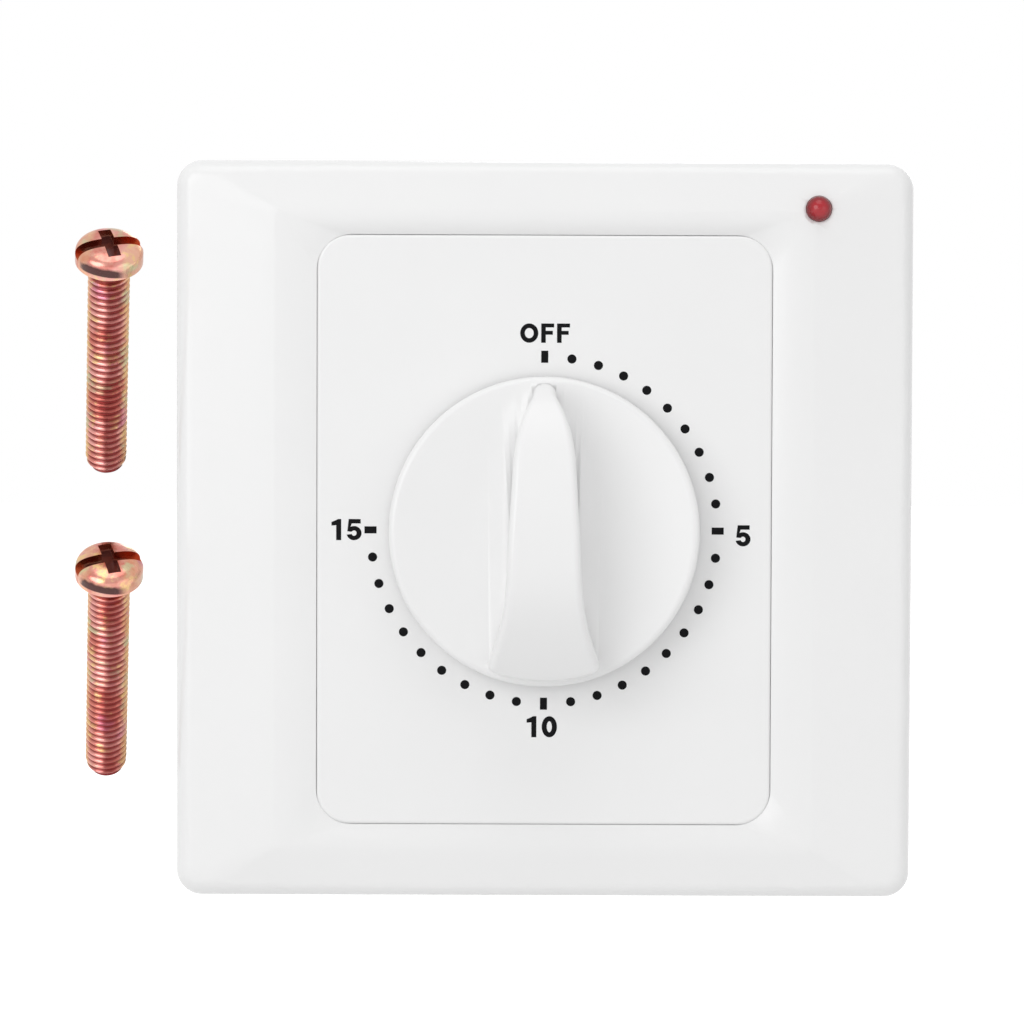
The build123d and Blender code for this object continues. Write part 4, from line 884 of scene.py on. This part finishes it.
class TIMER_OT_print(SwitchOperator, bpy.types.Operator):
    """Prints the scale on the dial panel: a bar or dot for every half minute, and its four names"""

    bl_idname = "timer.print"
    bl_label = "Print Scale"

    def execute(self, context):
        settings = context.scene.timer_print
        panel_level = -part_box("dial_panel")[0].y
        top = panel_level + settings.thickness
        marks, geometry = scale_marks(settings, panel_level)
        print_ink = ink(context.scene.timer_finish.ink[:]).material
        ring = marks.finish(geometry, print_ink)
        grid = bmesh.new()
        grid.from_mesh(ring.data)
        for word in SCALE_WORDS:
            for face in word_faces(*word):
                grid.faces.new([grid.verts.new((x * MM, -top, z * MM)) for x, z in face])
        bmesh.ops.remove_doubles(grid, verts=grid.verts, dist=WELD)
        mesh = bpy.data.meshes.new("dial_print")
        grid.to_mesh(mesh)
        grid.free()
        bpy.data.objects.remove(ring)
        printed = link_mesh("dial_print", mesh)
        wear(printed, print_ink)
        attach(printed, "switch")
        return {"FINISHED"}


# Settings of the loose screws that are inputs of their nodes
SCREW_SIZES = (
    "length", "radius", "pitch", "depth", "head_radius", "head_height", "head_side",
    "recess", "recess_depth", "recess_turn",
)


def rolled(grown, counts, turn, radius, height):
    """A closed body around z: a grid that gets this turn, radius and height at each vertex."""
    sheet = grown.node(
        "GeometryNodeMeshGrid",
        {"Size X": 1.0, "Size Y": 1.0, "Vertices X": counts[0], "Vertices Y": counts[1]},
    )
    angle = turn * (2 * math.pi)
    place = grown.vector(radius * angle.cos(), radius * angle.sin(), height)
    shaped = grown.node(
        "GeometryNodeSetPosition", {"Geometry": sheet.outputs[0], "Position": place}
    )
    closed = grown.node(
        "GeometryNodeMergeByDistance", {"Geometry": shaped.outputs[0], "Distance": 2 * WELD}
    )
    return closed.outputs[0]


def screw_shank(grown, size, turn, run):
    """The threaded shank, closed at both ends and rounded at its tip."""
    rows = SHANK_GRID[1]
    height = ((run - 1 / rows) / (1 - 2 / rows)).most(0.0).least(1.0) * size["length"]
    wave = abs(((height / size["pitch"] - turn) % 1.0) - 0.5) * 2.0
    groove = wave.between(0.12, 0.88) * size["depth"]
    near_tip = 1.0 - (height / (TIP_TURNS * size["pitch"])).least(1.0)
    taper = (1.0 - (1.0 - near_tip * near_tip) ** 0.5) * size["radius"] * TIP_DEPTH
    inside = (run > 0.5 / rows) * (run < 1 - 0.5 / rows)
    return rolled(grown, SHANK_GRID, turn, (size["radius"] - groove - taper) * inside, height)


def screw_head(grown, size, turn, run):
    """The rounded head.

    A sixth of its outline runs outwards below, a sixth up the side, and the rest over the top.
    """
    under = (run * 6.0).least(1.0)
    upright = ((run - 1 / 6) * 6.0).most(0.0).least(1.0)
    dome = ((run - 1 / 3) * 1.5).most(0.0).least(1.0)
    rise = dome * (math.pi / 2)
    radius = size["head_radius"] * under * (rise.cos().most(0.0) ** 0.6)
    dome_height = (size["head_height"] - size["head_side"]) * (rise.sin() ** 0.9)
    height = size["length"] + upright * size["head_side"] + dome_height
    return rolled(grown, HEAD_GRID, turn, radius, height)


def cut_recess(grown, size, head):
    """Cuts the long slot and the shorter one across it into the head."""
    middle = grown.vector(0.0, 0.0, size["length"] + size["head_height"])
    spin = grown.vector(0.0, 0.0, size["recess_turn"])
    width, height = size["recess"], 2.0 * size["recess_depth"]
    for extent in (
        grown.vector(3.0 * size["head_radius"], width, height),
        grown.vector(width, 2.0 * SLOT_BAR * size["head_radius"], height),
    ):
        block = grown.node("GeometryNodeMeshCube", {"Size": extent})
        placed = grown.node(
            "GeometryNodeTransform",
            {"Geometry": block.outputs[0], "Translation": middle, "Rotation": spin},
        )
        cut = grown.node(
            "GeometryNodeMeshBoolean", {"Mesh 1": head, "Mesh 2": placed.outputs[0]},
            operation="DIFFERENCE", solver="EXACT",
        )
        head = cut.outputs[0]
    return head


def screw_geometry(settings):
    """A threaded screw with a rounded head and a crossed slot, placed twice.

    Shank and head are grids that are rolled up: x goes once around, y runs along the outline.
    """
    grown = Grown("loose_screws")
    size = {
        name: grown.input(name.replace("_", " ").title(), getattr(settings, name))
        for name in SCREW_SIZES
    }
    first_tip = grown.input("First Tip", tuple(settings.first_tip), "Vector")
    second_tip = grown.input("Second Tip", tuple(settings.second_tip), "Vector")
    up = screw_direction(settings)
    side = Vector((0, 1, 0)).cross(up).normalized()
    turned = Matrix((side, up.cross(side), up)).transposed().to_euler()
    stance = grown.input("Stance", tuple(turned), "Vector")

    x, y, _ = grown.split(grown.node("GeometryNodeInputPosition").outputs[0])
    turn, run = x + 0.5, y + 0.5
    shank = screw_shank(grown, size, turn, run)
    head = cut_recess(grown, size, screw_head(grown, size, turn, run))
    screw = grown.join(shank, head)

    index = Value(grown, grown.node("GeometryNodeInputIndex").outputs[0])
    chosen = grown.node(
        "ShaderNodeMix", {0: index, 4: first_tip, 5: second_tip}, data_type="VECTOR"
    )
    points = grown.node("GeometryNodePoints", {"Count": 2, "Position": chosen.outputs[1]})
    copies = grown.node(
        "GeometryNodeInstanceOnPoints",
        {"Points": points.outputs[0], "Instance": screw, "Rotation": stance},
    )
    return grown, copies.outputs[0]


class TIMER_OT_screws(SwitchOperator, bpy.types.Operator):
    """Cuts the threads and recesses of the two loose screws"""

    bl_idname = "timer.screws"
    bl_label = "Thread Screws"

    def execute(self, context):
        grown, geometry = screw_geometry(context.scene.timer_screws)
        piece = grown.finish(geometry, frame["nodes"]["mounting_screws"].data.materials[0])
        smooth_faces(piece.data, SCREW_CREASE)
        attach(piece, "switch")
        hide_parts("mounting_screws")
        piece.visible_shadow = piece.visible_diffuse = False
        return {"FINISHED"}


# Name, place, diameter and power of each lamp; all point at the middle of the plate
LAMPS = (
    ("key", (-0.45, -0.75, 0.22), 0.6, 1.9),
    ("fill", (0.55, -0.6, 0.05), 0.5, 0.3),
    ("top", (0.0, -0.3, 0.62), 0.5, 0.65),
    ("back", (0.25, 0.6, 0.35), 0.6, 1.5),
)


class TIMER_OT_stage(SwitchOperator, bpy.types.Operator):
    """Sets up the floor, the lights and the camera"""

    bl_idname = "timer.stage"
    bl_label = "Set Stage"

    def execute(self, context):
        settings = context.scene.timer_stage
        self.light_room(context, settings)
        self.lay_floor(settings)
        for name, place, size, power in LAMPS:
            light = bpy.data.lights.new(name, "AREA")
            light.shape = "DISK"
            light.size = size
            light.energy = power
            lamp = bpy.data.objects.new(name, light)
            context.scene.collection.objects.link(lamp)
            lamp.location = place
            lamp.rotation_euler = (-Vector(place)).to_track_quat("-Z", "Y").to_euler()
        self.place_camera(context, settings)
        context.scene.view_settings.view_transform = "Standard"
        return {"FINISHED"}

    def light_room(self, context, settings):
        world = bpy.data.worlds.new("room")
        world.use_nodes = True
        context.scene.world = world
        graph = Graph(world.node_tree)
        graph.tree.nodes.clear()
        seen = graph.seen()
        even, white = (
            graph.node("ShaderNodeBackground", {"Color": shade(1.0), "Strength": strength})
            for strength in (settings.world, 1.0)
        )
        both = graph.node("ShaderNodeMixShader", {0: seen, 1: even.outputs[0], 2: white.outputs[0]})
        graph.node("ShaderNodeOutputWorld", {"Surface": both.outputs[0]})

    def lay_floor(self, settings):
        half = FLOOR_HALF
        corners = [(-half, -half), (half, -half), (half, half), (-half, half)]
        mesh = bpy.data.meshes.new("floor")
        mesh.from_pydata([(x, y, settings.floor) for x, y in corners], [], [(0, 1, 2, 3)])
        floor = link_mesh("floor", mesh)
        finish = Finish("pale_floor", Roughness=0.9)
        dark, light = FLOOR_TONES
        finish.set(Base_Color=finish.mix(finish.noise(400.0), shade(dark), shade(light)))
        glow = finish.node("ShaderNodeEmission", {"Color": shade(1.0), "Strength": FLOOR_GLOW})
        lit = finish.node("ShaderNodeAddShader", {0: finish.shader.outputs[0], 1: glow.outputs[0]})
        both = finish.node(
            "ShaderNodeMixShader",
            {0: finish.seen(), 1: finish.shader.outputs[0], 2: lit.outputs[0]},
        )
        finish.tree.links.new(both.outputs[0], finish.output.inputs["Surface"])
        wear(floor, finish.material)

    def place_camera(self, context, settings):
        target = Vector((0, -PLATE_FRONT, 0))
        across = math.cos(settings.elevation)
        away = Vector((
            math.sin(settings.azimuth) * across, -math.cos(settings.azimuth) * across,
            math.sin(settings.elevation),
        ))
        data = bpy.data.cameras.new("camera")
        data.lens = settings.lens
        data.sensor_width = SENSOR_WIDTH
        data.shift_x, data.shift_y = settings.shift
        data.clip_start = CLIP_START
        camera = bpy.data.objects.new("camera", data)
        context.scene.collection.objects.link(camera)
        turn = (-away).to_track_quat("-Z", "Y").to_matrix().to_4x4()
        stand = Matrix.Translation(target + away * settings.distance)
        camera.matrix_world = stand @ turn @ Matrix.Rotation(settings.roll, 4, "Z")
        context.scene.camera = camera


class TIMER_PT_panel(bpy.types.Panel):
    """The steps and their settings in the sidebar"""

    bl_label = "Timer Light Switch"
    bl_idname = "TIMER_PT_panel"
    bl_space_type = "VIEW_3D"
    bl_region_type = "UI"
    bl_category = "Timer"

    def draw(self, context):
        scene = context.scene
        for name, settings in (
            ("finishes", scene.timer_finish), ("print", scene.timer_print),
            ("screws", scene.timer_screws), ("stage", scene.timer_stage),
        ):
            box = self.layout.box()
            box.operator("timer." + name)
            for key in settings.__annotations__:
                box.prop(settings, key)


SETTINGS = {
    "timer_finish": FinishSettings, "timer_print": PrintSettings,
    "timer_screws": ScrewSettings, "timer_stage": StageSettings,
}
OPERATORS = (TIMER_OT_finishes, TIMER_OT_print, TIMER_OT_screws, TIMER_OT_stage)
CLASSES = tuple(SETTINGS.values()) + OPERATORS + (TIMER_PT_panel,)


def register():
    for cls in CLASSES:
        bpy.utils.register_class(cls)
    for name, group in SETTINGS.items():
        setattr(bpy.types.Scene, name, bpy.props.PointerProperty(type=group))


def unregister():
    for name in SETTINGS:
        delattr(bpy.types.Scene, name)
    for cls in reversed(CLASSES):
        bpy.utils.unregister_class(cls)


def main():
    register()
    bpy.ops.timer.finishes()
    bpy.ops.timer.print()
    bpy.ops.timer.screws()
    bpy.ops.timer.stage()


if __name__ == "__main__":
    main()
